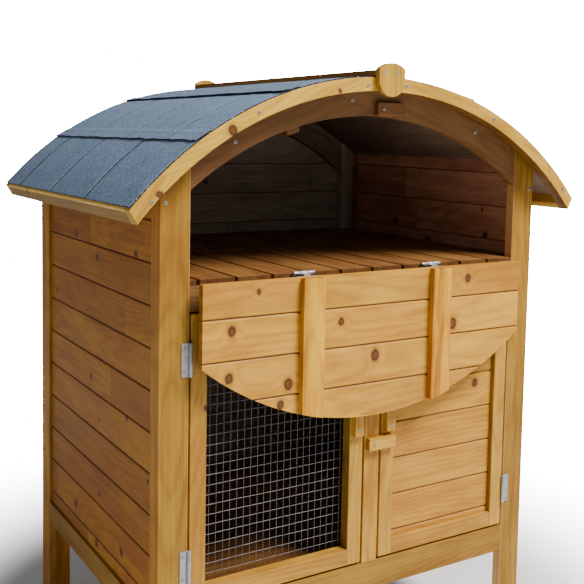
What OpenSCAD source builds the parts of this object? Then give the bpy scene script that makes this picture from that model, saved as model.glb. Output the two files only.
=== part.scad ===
// Small-animal hutch: a closed cage below, an open hay loft under a barrel roof above.
// X runs across the front, +Y runs to the back and +Z up.  The ground is Z = 0.
// The loft's front flap hangs open; it hinges on its straight edge and closes upwards.

/* [Hutch] */
// Width across the front, outside the side panels
width = 600; // [540:10:720]
// Depth of the walls, from the front face to the back face
depth = 470; // [400:10:600]
// Height of the loft floor's top above the ground
loft_h = 600; // [540:10:700]
// Height of the legs under the bottom rails
leg_h = 150; // [80:10:200]

/* [Frames] */
// Thickness of the side panels' stiles
side_t = 12; // [11:1:18]
// Width of the side panels' front stiles
side_front_w = 26; // [24:1:40]
// Width of the side panels' rear stiles
side_rear_w = 38; // [34:1:50]
// Width of the front and back frames' stiles
stile_w = 26; // [22:1:36]
// Thickness of the front and back frames
frame_t = 14; // [12:1:18]
// Height of the bottom rails
rail_h = 32; // [24:1:50]
// How far the side bottom rails stand in under the floor
rail_ledge = 8; // [6:1:16]
// Thickness of the cage floor
floor_t = 8; // [6:1:12]
// Width of the post between the two doors
post_w = 25; // [20:1:34]
// Place of that post, right of the centre
post_x = 14; // [0:1:30]

/* [Boards] */
// Height of one tongue-and-groove board
board_h = 52; // [40:1:70]
// Thickness of the wall boards
board_t = 8; // [6:1:10]
// Depth of the V groove between two boards
groove = 2; // [1:0.5:3]
// First board joint of the walls, above the loft floor
wall_joint = 18; // [0:1:40]

/* [Loft] */
// Thickness of the loft's floor slats
slat_t = 7; // [6:1:10]
// Spacing of the slats
slat_pitch = 51.5; // [44:0.5:62]
// Gap between two slats
slat_gap = 4.5; // [3:0.5:8]
// Place of the gap nearest the centre
slat_shift = 7; // [0:1:20]
// Height of the rails that carry the slats
loft_rail_h = 31; // [24:1:40]
// Thickness of the middle bearer
bearer_t = 20; // [16:1:30]
// Height of the opening at its sides, above the loft floor
spring_h = 107; // [90:1:130]
// Height of the opening at its crown, above the loft floor
crown_h = 201; // [180:1:230]

/* [Roof] */
// Depth of the arch boards, from the opening to the roof deck
arch_h = 44; // [34:1:52]
// Number of straight flats along the top of each arch board
arch_flats = 5; // [3:1:8]
// Thickness of the curved plywood deck
deck_t = 5; // [4:1:8]
// Thickness of one layer of roofing felt
felt_t = 1.5; // [1.2:0.1:2.5]
// How far each felt course laps over the one below
felt_lap = 20; // [12:1:30]
// How far the felt hangs over the bargeboards
felt_lip = 0.6; // [0.4:0.1:1.5]
// How far the felt stops short of the eave boards' edge
eave_lip = 6; // [4:1:8]
// Length of the lowest felt course along the curve
felt_low_l = 123; // [90:1:140]
// Length of the middle felt course along the curve
felt_mid_l = 134; // [110:1:150]
// Width of the bargeboards and the eave boards
barge_w = 18; // [14:1:30]
// Thickness of the bargeboards
barge_t = 17; // [12:1:22]
// Thickness of the eave boards
eave_t = 11; // [8:1:14]
// How far the eaves stand out past the walls
eave_out = 51; // [40:1:70]
// Lean of the eave boards' faces from upright, in degrees
eave_lean = 30; // [20:1:38]
// How far the deck stands out in front of the walls
deck_front = 16; // [12:1:30]
// How far the deck stands out behind the walls
deck_rear = 3; // [2:1:30]
// Width of the ridge board
ridge_w = 41; // [34:1:50]
// Thickness of the ridge board at its middle
ridge_t = 7.5; // [6:0.5:12]
// Height of the finials
finial_h = 43; // [40:1:52]
// Thickness of the finials
finial_t = 8; // [6:1:12]
// Rise of the finials' domed top
finial_dome = 7.5; // [5:0.5:10]
// How far the finials rise above the ridge board
finial_up = 9; // [7:1:12]

/* [Doors] */
// Gap round each door
door_gap = 3; // [2:0.5:4]
// Width of the door frames
door_frame_w = 22; // [18:1:30]
// Thickness of the door frames
door_t = 16; // [15:1:20]
// How far the boards sit behind the solid door's face
door_recess = 7; // [5:1:8]
// First board joint of the solid door, below the loft floor
door_joint = 221; // [200:1:240]
// Width of one mesh opening
mesh_x = 9.9; // [8:0.1:14]
// Height of one mesh opening
mesh_z = 12.7; // [10:0.1:14]
// Thickness of the mesh wires
wire = 1.2; // [1:0.1:1.6]
// How far the mesh laps onto the back of its frame
mesh_lap = 8; // [5:1:12]
// Length of the door pulls
pull_l = 60; // [50:1:70]
// Width of the door pulls
pull_w = 14; // [12:1:18]
// Thickness of the door pulls and turn buttons
pull_t = 8; // [6:1:10]

/* [Flap] */
// Thickness of the flap's boards
flap_t = 10; // [8:1:12]
// Thickness of the flap's two battens
batten_t = 9; // [8:1:14]
// Width of the battens
batten_w = 32; // [28:1:42]
// Distance of each batten's middle from the centre
batten_x = 104; // [80:1:140]
// Gap between the closed flap and the opening
flap_gap = 6.5; // [6:0.5:8]
// How far the closed flap sits behind the front face
flap_inset = 5; // [4.5:0.5:6]
// Clear space between the hanging flap and the door pulls
hang_gap = 5; // [5:0.5:10]
// Height of the flap's first board, at its hinged edge
flap_board = 43; // [36:1:50]
// How far the battens stop short of the flap's curved edge
batten_cut = 1; // [1:0.5:3]
// Size of the block that stops the closed flap
stop_w = 19; // [14:1:24]
// How far that block's lip reaches behind the batten
stop_lap = 4; // [3:0.5:6]
// Gap between the flap's hinged edge and the hinge pin's middle
edge_gap = 3; // [2.8:0.1:4]
// Height of the hinge pin above the loft floor
pin_h = 0; // [0:0.5:2]

/* [Hardware] */
// Length of the turn buttons
button_l = 45; // [36:1:50]
// Width of the turn buttons
button_w = 17; // [12:1:20]
// Distance from a button's end to its screw
button_end = 9; // [7:1:12]
// Play of a turn button between the frame and its screw's head
button_play = 0.4; // [0.3:0.1:0.6]
// Radius of the screws' heads
head_r = 4; // [3:0.2:5]
// Thickness of the screws' heads
head_t = 1.5; // [1:0.1:2]
// Width of the flap's hinges
hinge_w = 32; // [26:1:38]
// Thickness of the hinge leaves
leaf_t = 1.5; // [1.2:0.1:2]
// Radius of the hinge knuckles
knuckle_r = 2.5; // [2.3:0.1:2.7]
// Height of the flap's hinge leaves
leaf_h = 18; // [14:1:22]
// Height of a door hinge
door_hinge_h = 41; // [32:1:50]
// Drop of the door post's turn button below the loft floor
post_button_drop = 242; // [220:1:260]
// Gap between that button and the door pulls above it
pull_gap = 6; // [5.5:0.5:10]
// Place of each door hinge, in from the door's ends
door_hinge_in = 34; // [20:1:60]
// Width of a door hinge's leaf
door_leaf_w = 10; // [8:1:12]
// Radius of the hinge pins and the button screws
pin_r = 1.2; // [1:0.1:1.4]

/* [Hidden] */
$fn = 96;

FIT = 0.3;                  // play where a curved edge meets a curved face
PIN_PLAY = 0.2;             // play of a hinge knuckle or a button on its pin
WELD_GAP = 0.05;            // keeps the mesh's two layers of wires as separate solids
WOOD = "#c9964f";
SHADE = "#a9713a";
PALE = "#dcb374";
FELT = "#72879a";
STEEL = "#b9bcc0";

half = width / 2;
inner = half - side_t;                      // inner face of the side panels
open_x = inner - stile_w;                   // half the clear width between the front stiles
rail_top = leg_h + rail_h;
floor_top = rail_top + floor_t;
loft_rail_top = loft_h - slat_t;
door_top = loft_rail_top - loft_rail_h;
frame_back = depth - board_t - frame_t;     // front face of the back frame

sagitta = crown_h - spring_h;
arch_r = (open_x * open_x + sagitta * sagitta) / (2 * sagitta);
arch_z = loft_h + crown_h - arch_r;         // height of the arc's centre
deck_r = arch_r + arch_h;
felt_r = deck_r + deck_t;                   // top of the deck and of the bargeboards
eave_a = asin((half + eave_out) / felt_r);
low_a = eave_a - deg(felt_low_l + eave_lip, felt_r);
mid_a = low_a - deg(felt_mid_l, felt_r);
low_top = low_a - deg(felt_lap, felt_r);    // upper edges of the two lower courses
mid_top = mid_a - deg(felt_lap, felt_r);
roof_front = -deck_front - barge_t;
roof_rear = depth + deck_rear + barge_t;
felt_front = roof_front - felt_lip;
felt_rear = roof_rear + felt_lip;
ridge_z = arch_z + felt_r + felt_t;         // crown of the felt

hang_y = -pull_t - hang_gap;                // back face of the hanging flap
pin_y = (hang_y + flap_inset) / 2;
pin_z = loft_h + pin_h;
flap_r = arch_r - flap_gap;
flap_x = open_x - flap_gap;
crown_pivot = [12.5, loft_h + crown_h + button_w / 2 + 1];
post_pivot = [post_x - 1, loft_h - post_button_drop];
pull_z = post_pivot[1] + button_w / 2 + pull_gap;   // lower end of the door pulls

y_min = min(felt_front - finial_t, hang_y - flap_t - batten_t);
y_max = felt_rear + finial_t;

function deg(length, r) = length / r * 180 / PI;

// Puts the hutch, drawn with its front face at Y = 0, round the middle of its own depth.
module hutch() translate([0, -(y_min + y_max) / 2, 0]) children();

// A box given by its two corners.
module box(low, high) translate(low) cube(high - low);

// Extrudes an outline drawn in X and Z from one depth to another.
module along_y(y0, y1) translate([0, y1, 0]) rotate([90, 0, 0]) linear_extrude(y1 - y0) children();

// Extrudes an outline drawn in Y and Z from one side to another.
module along_x(x0, x1) translate([x0, 0, 0]) rotate([90, 0, 90]) linear_extrude(x1 - x0) children();

module mirrored() {
    children();
    mirror([1, 0, 0]) children();
}

// Round outline about the roof's centre, in X and Z.
module disc(r) translate([0, arch_z]) circle(r, $fn = 240);

// Everything below the curved deck, down to the ground.
module under_deck() {
    disc(deck_r - FIT);
    translate([-deck_r, 0]) square([2 * deck_r, arch_z]);
}

// The part of a ring about the roof's centre between two angles from the crown.
module arc_band(r0, r1, a0, a1) {
    far = 2 * r1;
    intersection() {
        difference() {
            disc(r1);
            disc(r0);
        }
        translate([0, arch_z])
            polygon([[0, 0], [far * sin(a0), far * cos(a0)],
                     [far * sin((a0 + a1) / 2), far * cos((a0 + a1) / 2)],
                     [far * sin(a1), far * cos(a1)]]);
    }
}

// Section of a wall of boards: flat at 0, grooved at t, with joints every board_h from joint.
module board_section(t, z0, z1, joint) {
    first = ceil((z0 + groove - joint) / board_h);
    last = floor((z1 - groove - joint) / board_h);
    notches = [for (i = [first : last], k = [-1 : 1])
        [k == 0 ? t - groove : t, joint + i * board_h + k * groove]];
    polygon(concat([[0, z0], [t, z0]], notches, [[t, z1], [0, z1]]));
}

// ---- Front and back frames, side panels ----

module front_stile() hutch() along_y(0, frame_t) intersection() {
    translate([open_x, 0]) square([stile_w, loft_h + crown_h]);
    under_deck();
}
module front_stile_right() color(WOOD) front_stile();
module front_stile_left() color(WOOD) mirror([1, 0, 0]) front_stile();

module side_post(y0, y1) hutch() along_y(y0, y1) intersection() {
    translate([inner, 0]) square([side_t, loft_h + crown_h]);
    under_deck();
}
module side_post_front_right() color(WOOD) side_post(0, side_front_w);
module side_post_front_left() color(WOOD) mirror([1, 0, 0]) side_post(0, side_front_w);
module side_post_rear_right() color(WOOD) side_post(depth - side_rear_w, depth);
module side_post_rear_left() color(WOOD) mirror([1, 0, 0]) side_post(depth - side_rear_w, depth);

module back_stile() hutch() along_y(frame_back, frame_back + frame_t) intersection() {
    translate([open_x, 0]) square([stile_w, loft_h + crown_h]);
    under_deck();
}
module back_stile_right() color(SHADE) back_stile();
module back_stile_left() color(SHADE) mirror([1, 0, 0]) back_stile();

module bottom_rails() color(SHADE) hutch() {
    box([-open_x, 0, leg_h], [open_x, frame_t, floor_top]);
    box([-open_x, frame_back, leg_h], [open_x, frame_back + frame_t, floor_top]);
    mirrored() box([inner - rail_ledge, side_front_w, leg_h], [half, depth - side_rear_w, rail_top]);
}

module loft_rails() color(SHADE) hutch() {
    middle = (frame_t + frame_back) / 2;
    box([-open_x, 0, door_top], [open_x, frame_t, loft_rail_top]);
    box([-inner, middle - bearer_t / 2, door_top], [inner, middle + bearer_t / 2, loft_rail_top]);
    box([-open_x, frame_back, door_top], [open_x, frame_back + frame_t, loft_rail_top]);
}

module side_boards() hutch() along_y(side_front_w, depth - side_rear_w) intersection() {
    translate([inner, 0]) board_section(board_t, rail_top, loft_h + crown_h, loft_h + wall_joint);
    under_deck();
}
module side_boards_right() color(SHADE) side_boards();
module side_boards_left() color(SHADE) mirror([1, 0, 0]) side_boards();

module back_boards() color(SHADE) hutch() intersection() {
    translate([0, depth - board_t, 0]) along_x(-inner, inner)
        board_section(board_t, leg_h, arch_z + deck_r, loft_h + wall_joint);
    along_y(depth - 2 * board_t, depth + board_t) under_deck();
}

// Arch boards between two places: round below, and straight flats under the deck.
module arch_boards(x0, x1) intersection() {
    turn = asin(open_x / deck_r) / arch_flats;
    r = deck_r - FIT;
    flats = [for (i = [-arch_flats - 1 : arch_flats + 1]) [r * sin(i * turn), r * cos(i * turn)]];
    difference() {
        translate([0, arch_z]) polygon(concat([[-r, 0]], flats, [[r, 0]]));
        disc(arch_r);
    }
    translate([x0, loft_h]) square([x1 - x0, crown_h + arch_h]);
}
module front_arch_left() color(WOOD) hutch() along_y(0, frame_t) arch_boards(-open_x, 0);
module front_arch_right() color(WOOD) hutch() along_y(0, frame_t) arch_boards(0, open_x);
module back_arch() color(SHADE) hutch()
    along_y(frame_back, frame_back + frame_t) arch_boards(-open_x, open_x);

// Block behind the arch, with a lip that hangs behind the closed flap's left batten.
module flap_stop() color(WOOD) hutch() {
    lip_y = flap_inset + flap_t + batten_t + hang_gap;
    for (part = [[frame_t, arch_r], [lip_y, flap_r - batten_cut - stop_lap]])
        along_y(part[0], lip_y + stop_w) intersection() {
            translate([-batten_x - stop_w / 2, loft_h]) square([stop_w, crown_h + arch_h]);
            difference() {
                disc(arch_r + stop_w);
                disc(part[1]);
            }
        }
}

// ---- Floors ----

module cage_floor() color(PALE) hutch()
    box([-inner, frame_t, rail_top], [inner, frame_back, floor_top]);

// Floor slats run from front to back; the outer ones are ripped to fit and notched round the stiles.
module loft_slats() color(PALE) hutch() {
    count = ceil(inner / slat_pitch) + 1;
    for (i = [-count : count]) {
        x0 = max(-inner, slat_shift + i * slat_pitch + slat_gap / 2);
        x1 = min(inner, slat_shift + (i + 1) * slat_pitch - slat_gap / 2);
        if (x1 - x0 > slat_gap) translate([0, 0, loft_rail_top]) linear_extrude(slat_t) difference() {
            translate([x0, 0]) square([x1 - x0, depth - board_t]);
            mirrored() translate([open_x, 0]) square([stile_w, frame_t]);
            mirrored() translate([open_x, frame_back]) square([stile_w, frame_t]);
        }
    }
}

// ---- Doors ----

left_door = [-open_x + door_gap, post_x - post_w / 2 - door_gap];
right_door = [post_x + post_w / 2 + door_gap, open_x - door_gap];
door_z = [floor_top + door_gap, door_top - door_gap];

module door_post() color(WOOD) hutch()
    box([post_x - post_w / 2, 0, floor_top], [post_x + post_w / 2, frame_t, door_top]);

module door_outline(x, margin) translate([x[0] + margin, door_z[0] + margin])
    square([x[1] - x[0] - 2 * margin, door_z[1] - door_z[0] - 2 * margin]);

module door_frame(x) hutch() along_y(0, door_t) difference() {
    door_outline(x, 0);
    door_outline(x, door_frame_w);
}
module mesh_door_frame() color(WOOD) door_frame(left_door);
module solid_door_frame() color(WOOD) door_frame(right_door);

module solid_door_boards() color(WOOD) hutch() translate([0, door_t, 0]) mirror([0, 1, 0])
    along_x(right_door[0] + door_frame_w, right_door[1] - door_frame_w)
        board_section(door_t - door_recess, door_z[0] + door_frame_w, door_z[1] - door_frame_w,
                      loft_h - door_joint);

// Welded mesh on the back of the left door's frame: level wires, and upright ones behind them.
mesh_margin = door_frame_w - mesh_lap;
mesh_cols = floor((left_door[1] - left_door[0] - 2 * mesh_margin - wire) / mesh_x);
mesh_rows = floor((door_z[1] - door_z[0] - 2 * mesh_margin - wire) / mesh_z);
mesh_low = [(left_door[0] + left_door[1] - mesh_cols * mesh_x) / 2,
            (door_z[0] + door_z[1] - mesh_rows * mesh_z) / 2];

module wires(layer) color(STEEL) hutch()
    translate([mesh_low[0], door_t + (layer + 0.5) * wire + layer * WELD_GAP, mesh_low[1]]) children();

module mesh_upper() wires(0) for (j = [0 : mesh_rows])
    translate([-wire / 2, 0, j * mesh_z]) rotate([0, 90, 0])
        cylinder(r = wire / 2, h = mesh_cols * mesh_x + wire, $fn = 12);
module mesh_lower() wires(1) for (i = [0 : mesh_cols])
    translate([i * mesh_x, 0, -wire / 2]) cylinder(r = wire / 2, h = mesh_rows * mesh_z + wire, $fn = 12);

module door_pulls() color(WOOD) hutch()
    for (x = [left_door[1] - door_frame_w / 2, right_door[0] + door_frame_w / 2])
        box([x - pull_w / 2, -pull_t, pull_z], [x + pull_w / 2, 0, pull_z + pull_l]);

// ---- Roof ----

// The outline between the eave boards' faces, moved in by a distance along the curve.
module between_eaves(inset) {
    a = eave_a - deg(inset, felt_r);
    reach = felt_r / cos(eave_lean);
    lean = [sin(eave_lean), cos(eave_lean)] * reach;
    top = [felt_r * sin(a), arch_z + felt_r * cos(a)];
    polygon([[top[0] - lean[0], top[1] - lean[1]], [top[0] + lean[0], top[1] + lean[1]],
             [-top[0] - lean[0], top[1] + lean[1]], [-top[0] + lean[0], top[1] - lean[1]]]);
}

module roof_deck() color(PALE) hutch() along_y(-deck_front, depth + deck_rear) intersection() {
    arc_band(deck_r, felt_r, -eave_a, eave_a);
    between_eaves(eave_t);
}

// Felt courses: each lies on the deck and laps over the top edge of the course below.
module felt() color(FELT) hutch() along_y(felt_front, felt_rear) children();
module felt_lap_band(foot, edge)
    arc_band(felt_r + felt_t, felt_r + 2 * felt_t, foot - deg(felt_t, felt_r), edge);

module felt_low() felt() mirrored()
    arc_band(felt_r, felt_r + felt_t, low_top, eave_a - deg(eave_lip, felt_r));
module felt_mid() felt() mirrored() {
    arc_band(felt_r, felt_r + felt_t, mid_top, low_top);
    felt_lap_band(low_top, low_a);
}
module felt_ridge() felt() {
    arc_band(felt_r, felt_r + felt_t, -mid_top, mid_top);
    mirrored() felt_lap_band(mid_top, mid_a);
}

module barge_outline() intersection() {
    arc_band(felt_r - barge_w, felt_r, -eave_a - 10, eave_a + 10);
    between_eaves(0);
}

module bargeboard_half() hutch() along_y(roof_front, roof_front + barge_t) intersection() {
    barge_outline();
    translate([0, arch_z]) square([felt_r, felt_r]);
}
module bargeboard_front_right() color(WOOD) bargeboard_half();
module bargeboard_front_left() color(WOOD) mirror([1, 0, 0]) bargeboard_half();
module bargeboard_rear() color(WOOD) hutch() along_y(roof_rear - barge_t, roof_rear) barge_outline();

module eave() hutch() along_y(-deck_front, depth + deck_rear) intersection() {
    difference() {
        barge_outline();
        between_eaves(eave_t);
    }
    translate([0, arch_z]) square([felt_r, felt_r]);
}
module eave_right() color(WOOD) eave();
module eave_left() color(WOOD) mirror([1, 0, 0]) eave();

// Flat-topped board that lies over the felt along the crown.
module ridge_board() color(SHADE) hutch() along_y(felt_front, felt_rear) difference() {
    translate([-ridge_w / 2, arch_z + deck_r]) square([ridge_w, ridge_z + ridge_t - arch_z - deck_r]);
    disc(felt_r + felt_t);
}

// Shield as wide as the ridge board: domed top, straight sides and a half-round foot.
module finial_outline() {
    top = ridge_z + ridge_t + finial_up;
    r = ridge_w / 2;
    dome_r = (r * r + finial_dome * finial_dome) / (2 * finial_dome);
    intersection() {
        translate([0, top - dome_r]) circle(dome_r);
        translate([-r, top - finial_h + r]) square([ridge_w, finial_h - r]);
    }
    translate([0, top - finial_h + r]) circle(r);
}
module finial_front() color(WOOD) hutch() along_y(felt_front - finial_t, felt_front) finial_outline();
module finial_rear() color(WOOD) hutch() along_y(felt_rear, felt_rear + finial_t) finial_outline();

// ---- Flap: drawn closed, then hung down about its hinge pin ----

module hung() hutch() translate([0, pin_y, pin_z]) rotate([180, 0, 0])
    translate([0, -pin_y, -pin_z]) children();

module flap_panel() color(PALE) hung() intersection() {
    translate([0, flap_inset, 0]) along_x(-flap_x, flap_x)
        board_section(flap_t, pin_z + edge_gap, arch_z + flap_r, pin_z + edge_gap + flap_board);
    along_y(flap_inset - 1, flap_inset + flap_t + 1) disc(flap_r);
}

module flap_battens() color(WOOD) hung() for (x = [-batten_x, batten_x])
    along_y(flap_inset + flap_t, flap_inset + flap_t + batten_t) intersection() {
        translate([x - batten_w / 2, pin_z + edge_gap]) square([batten_w, arch_z + flap_r - pin_z]);
        disc(flap_r - batten_cut);
    }

// Hinge leaf on a face at y_face, drawn upright above the pin, with its own share of the knuckle.
module hinge_leaf(y_face, turns) {
    step = hinge_w / 3;
    side = sign(y_face - pin_y);
    low = min(y_face, y_face - side * leaf_t);
    high = max(y_face, y_face - side * leaf_t);
    box([-hinge_w / 2, low, pin_z + edge_gap], [hinge_w / 2, high, pin_z + edge_gap + leaf_h]);
    arm_z = pin_z + FIT;
    for (i = turns) translate([-hinge_w / 2 + i * step, 0, 0]) {
        box([PIN_PLAY, low, arm_z], [step - PIN_PLAY, high, pin_z + edge_gap]);
        box([PIN_PLAY, min(pin_y, high), arm_z], [step - PIN_PLAY, max(pin_y, low), arm_z + leaf_t]);
        translate([PIN_PLAY, pin_y, pin_z]) rotate([0, 90, 0])
            cylinder(r = knuckle_r, h = step - 2 * PIN_PLAY);
    }
}

module pin_bore(r) translate([-hinge_w, pin_y, pin_z]) rotate([0, 90, 0])
    cylinder(r = r, h = 2 * hinge_w);

module flap_hinges() color(STEEL) hung() for (x = [-batten_x, batten_x])
    translate([x, 0, 0]) difference() {
        hinge_leaf(flap_inset, [1]);
        pin_bore(pin_r + PIN_PLAY);
    }

// Fixed leaves of the flap's hinges with their pins, and the doors' butt hinges.
module hinge_plates() color(STEEL) hutch() {
    for (x = [-batten_x, batten_x]) translate([x, 0, 0]) {
        translate([0, 0, 2 * pin_z]) mirror([0, 0, 1]) hinge_leaf(0, [0, 2]);
        translate([-hinge_w / 2, pin_y, pin_z]) rotate([0, 90, 0]) cylinder(r = pin_r, h = hinge_w);
    }
    for (z = [door_z[0] + door_hinge_in, door_z[1] - door_hinge_in - door_hinge_h]) mirrored() {
        box([open_x, -leaf_t, z], [open_x + door_leaf_w, 0, z + door_hinge_h]);
        translate([open_x - door_gap / 2, -knuckle_r, z]) cylinder(r = knuckle_r, h = door_hinge_h);
    }
}

// ---- Turn buttons ----

module turn_button(pivot) hutch() translate([pivot[0], 0, pivot[1]])
    along_y(-button_play - pull_t, -button_play) difference() {
        translate([-button_end, -button_w / 2]) square([button_l, button_w]);
        circle(pin_r + PIN_PLAY);
    }
module crown_button() color(WOOD) turn_button(crown_pivot);
module post_button() color(WOOD) turn_button(post_pivot);

module button_screws() color(STEEL) hutch() for (pivot = [crown_pivot, post_pivot])
    translate([pivot[0], 0, pivot[1]]) {
        head_y = -pull_t - 2 * button_play;
        along_y(head_y, 0) circle(pin_r);
        along_y(head_y - head_t, head_y) circle(head_r);
    }

front_stile_left();
front_stile_right();
side_post_front_left();
side_post_front_right();
side_post_rear_left();
side_post_rear_right();
back_stile_left();
back_stile_right();
bottom_rails();
loft_rails();
side_boards_left();
side_boards_right();
back_boards();
front_arch_left();
front_arch_right();
back_arch();
cage_floor();
loft_slats();
door_post();
mesh_door_frame();
mesh_upper();
mesh_lower();
solid_door_frame();
solid_door_boards();
hinge_plates();
door_pulls();
flap_stop();
roof_deck();
felt_low();
felt_mid();
felt_ridge();
bargeboard_front_left();
bargeboard_front_right();
bargeboard_rear();
eave_left();
eave_right();
ridge_board();
finial_front();
finial_rear();
flap_panel();
flap_battens();
flap_hinges();
crown_button();
post_button();
button_screws();
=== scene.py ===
# %% [markdown]
# # A small-animal hutch with a hay loft
#
# The hutch is a pine box on short legs. Its lower half is a closed cage with one
# wire-mesh door and one boarded door, and its upper half is an open loft under a
# round roof of blue-grey felt. The solid model of every board is already made, so
# this script loads it, dresses it in wood, felt and steel, and adds what is too fine
# for the solid model: the felt courses, the round wires, screws and board ends.

# %% Load the solid model
import math

import bmesh
import bpy
from mathutils import Matrix, Vector, noise


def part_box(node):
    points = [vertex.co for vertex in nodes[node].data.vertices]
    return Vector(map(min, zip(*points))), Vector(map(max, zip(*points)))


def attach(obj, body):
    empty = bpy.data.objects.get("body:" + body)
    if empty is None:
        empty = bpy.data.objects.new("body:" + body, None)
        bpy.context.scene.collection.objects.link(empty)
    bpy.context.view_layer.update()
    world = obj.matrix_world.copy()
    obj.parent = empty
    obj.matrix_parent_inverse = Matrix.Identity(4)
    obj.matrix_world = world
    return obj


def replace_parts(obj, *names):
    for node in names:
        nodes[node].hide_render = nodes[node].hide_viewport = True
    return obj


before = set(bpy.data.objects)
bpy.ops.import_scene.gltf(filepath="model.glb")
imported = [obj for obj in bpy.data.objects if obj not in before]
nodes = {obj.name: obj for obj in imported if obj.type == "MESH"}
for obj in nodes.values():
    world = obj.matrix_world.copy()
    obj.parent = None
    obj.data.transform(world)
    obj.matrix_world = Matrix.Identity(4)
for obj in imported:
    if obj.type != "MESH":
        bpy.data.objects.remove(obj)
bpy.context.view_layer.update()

# %% [markdown]
# ## Places that the rest is measured from
#
# Nothing is placed by eye. The front face, the loft floor and the middle of the
# round roof are read from the solid model, so the script follows it if it changes.
# The roof's middle comes from the curved deck's crown and its outermost corner,
# since both lie on the same circle.

# %% Read the main places
MM = 0.001


def roof_circle(node):
    """Height of a curved sheet's centre, and the radius of its upper face."""
    points = [v.co for v in nodes[node].data.vertices]
    top = max(p.z for p in points)
    edge = max(points, key=lambda p: p.x)
    centre = (top ** 2 - edge.z ** 2 - edge.x ** 2) / (2 * (top - edge.z))
    return centre, top - centre


front_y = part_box("front_stile_left")[0].y
loft_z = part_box("loft_slats")[1].z
half_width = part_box("side_post_front_right")[1].x
barge_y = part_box("bargeboard_front_left")[0].y
roof_z, deck_top = roof_circle("roof_deck")
felt_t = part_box("felt_ridge")[1].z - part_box("roof_deck")[1].z
print(f"front {front_y:.4f}  loft floor {loft_z:.4f}")
print(f"roof centre {roof_z:.4f}  deck radius {deck_top:.4f}")


def at(x, y, z):
    """A point given in millimetres: across, back from the front face, up from the loft floor."""
    return Vector((x * MM, front_y + y * MM, loft_z + z * MM))


def on_roof(angle, y, radius):
    """A point on the round roof, with its angle measured from the crown."""
    return Vector((radius * math.sin(angle), y, roof_z + radius * math.cos(angle)))


# %% [markdown]
# ## The camera
#
# The hutch is seen from its front left corner, from about a metre away and a little
# above the loft floor. A plain camera tilted down would make the uprights lean in, so
# the lens is shifted instead, which keeps them nearly parallel.

# %% Aim the camera
turn, dip, roll = 0.552, 0.085, -0.019
focal, middle_x, middle_y, frame_size = 922.5, 292.0, 213.9, 584.0

forward = Vector((math.sin(turn) * math.cos(dip), math.cos(turn) * math.cos(dip), -math.sin(dip)))
side = Vector((math.cos(turn), -math.sin(turn), 0))
down = forward.cross(side)
side_r = math.cos(roll) * side + math.sin(roll) * down
down_r = -math.sin(roll) * side + math.cos(roll) * down
turned = Matrix(((side_r.x, -down_r.x, -forward.x, 0), (side_r.y, -down_r.y, -forward.y, 0),
                 (side_r.z, -down_r.z, -forward.z, 0), (0, 0, 0, 1)))
lens = bpy.data.cameras.new("camera")
camera = bpy.data.objects.new("camera", lens)
bpy.context.collection.objects.link(camera)
camera.matrix_world = Matrix.Translation(at(-727.8, -985.2, 173.9)) @ turned
lens.sensor_width = 36
lens.lens = 36 * focal / frame_size
lens.shift_x = (frame_size / 2 - middle_x) / frame_size
lens.shift_y = (middle_y - frame_size / 2) / frame_size
bpy.context.scene.camera = camera
print("camera at", [round(v, 3) for v in camera.location])

# %% [markdown]
# ## Small helpers for shader nodes
#
# Every finish below is built from shader nodes. Made by hand in the shader editor
# they would be a few hundred boxes and wires, so short helpers make them instead.
# A signal is whatever comes out of a node: a number, a colour or a place. Writing
# a + b with signals puts down an Add node, so a finish reads like a formula.

# %% Say what a signal is
class Signal:
    """What comes out of a node's socket; sums on it put down Math nodes."""

    def __init__(self, socket):
        self.socket, self.tree = socket, socket.id_data

    def __add__(self, other):
        return calc("ADD", self, other)

    def __radd__(self, other):
        return calc("ADD", other, self)

    def __sub__(self, other):
        return calc("SUBTRACT", self, other)

    def __rsub__(self, other):
        return calc("SUBTRACT", other, self)

    def __mul__(self, other):
        return calc("MULTIPLY", self, other)

    def __truediv__(self, other):
        return calc("DIVIDE", self, other)

    def __rtruediv__(self, other):
        return calc("DIVIDE", other, self)

    def __lt__(self, other):
        return calc("LESS_THAN", self, other)

    def __gt__(self, other):
        return calc("GREATER_THAN", self, other)


print("a signal knows", sum(name.startswith("__r") for name in vars(Signal)), "turned-round operations")

# %% [markdown]
# Every node is made the same way: put it down, change its settings, link or set its
# inputs, and take a signal from it.

# %% Make the node helpers
def signals(node):
    """A node's outputs by name."""
    return {socket.name: Signal(socket) for socket in node.outputs}


def plug(tree, value, socket):
    """Links a signal or a socket, or sets a plain value."""
    value = getattr(value, "socket", value)
    if isinstance(value, bpy.types.NodeSocket):
        tree.links.new(value, socket)
    else:
        socket.default_value = value


def add(tree, kind, inputs=None, **settings):
    """A node with its settings and inputs."""
    node = tree.nodes.new("ShaderNode" + kind)
    for key, value in settings.items():
        setattr(node, key, value)
    for key, value in (inputs or {}).items():
        plug(tree, value, node.inputs[key])
    return node


def take(tree, kind, inputs, output=0, **settings):
    """Adds a node and takes one signal from it."""
    return Signal(add(tree, kind, inputs, **settings).outputs[output])


print("node helpers ready")

# %% [markdown]
# A finish is mostly arithmetic on places and masks: how far to the next joint, how
# much of the dark colour. These helpers write the steps that a plus or minus sign
# can't.

# %% Make the arithmetic helpers
def calc(operation, *values):
    """One Math node; at least one of the values is a signal."""
    tree = next(value.tree for value in values if isinstance(value, Signal))
    return take(tree, "Math", dict(enumerate(values)), operation=operation)


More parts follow.
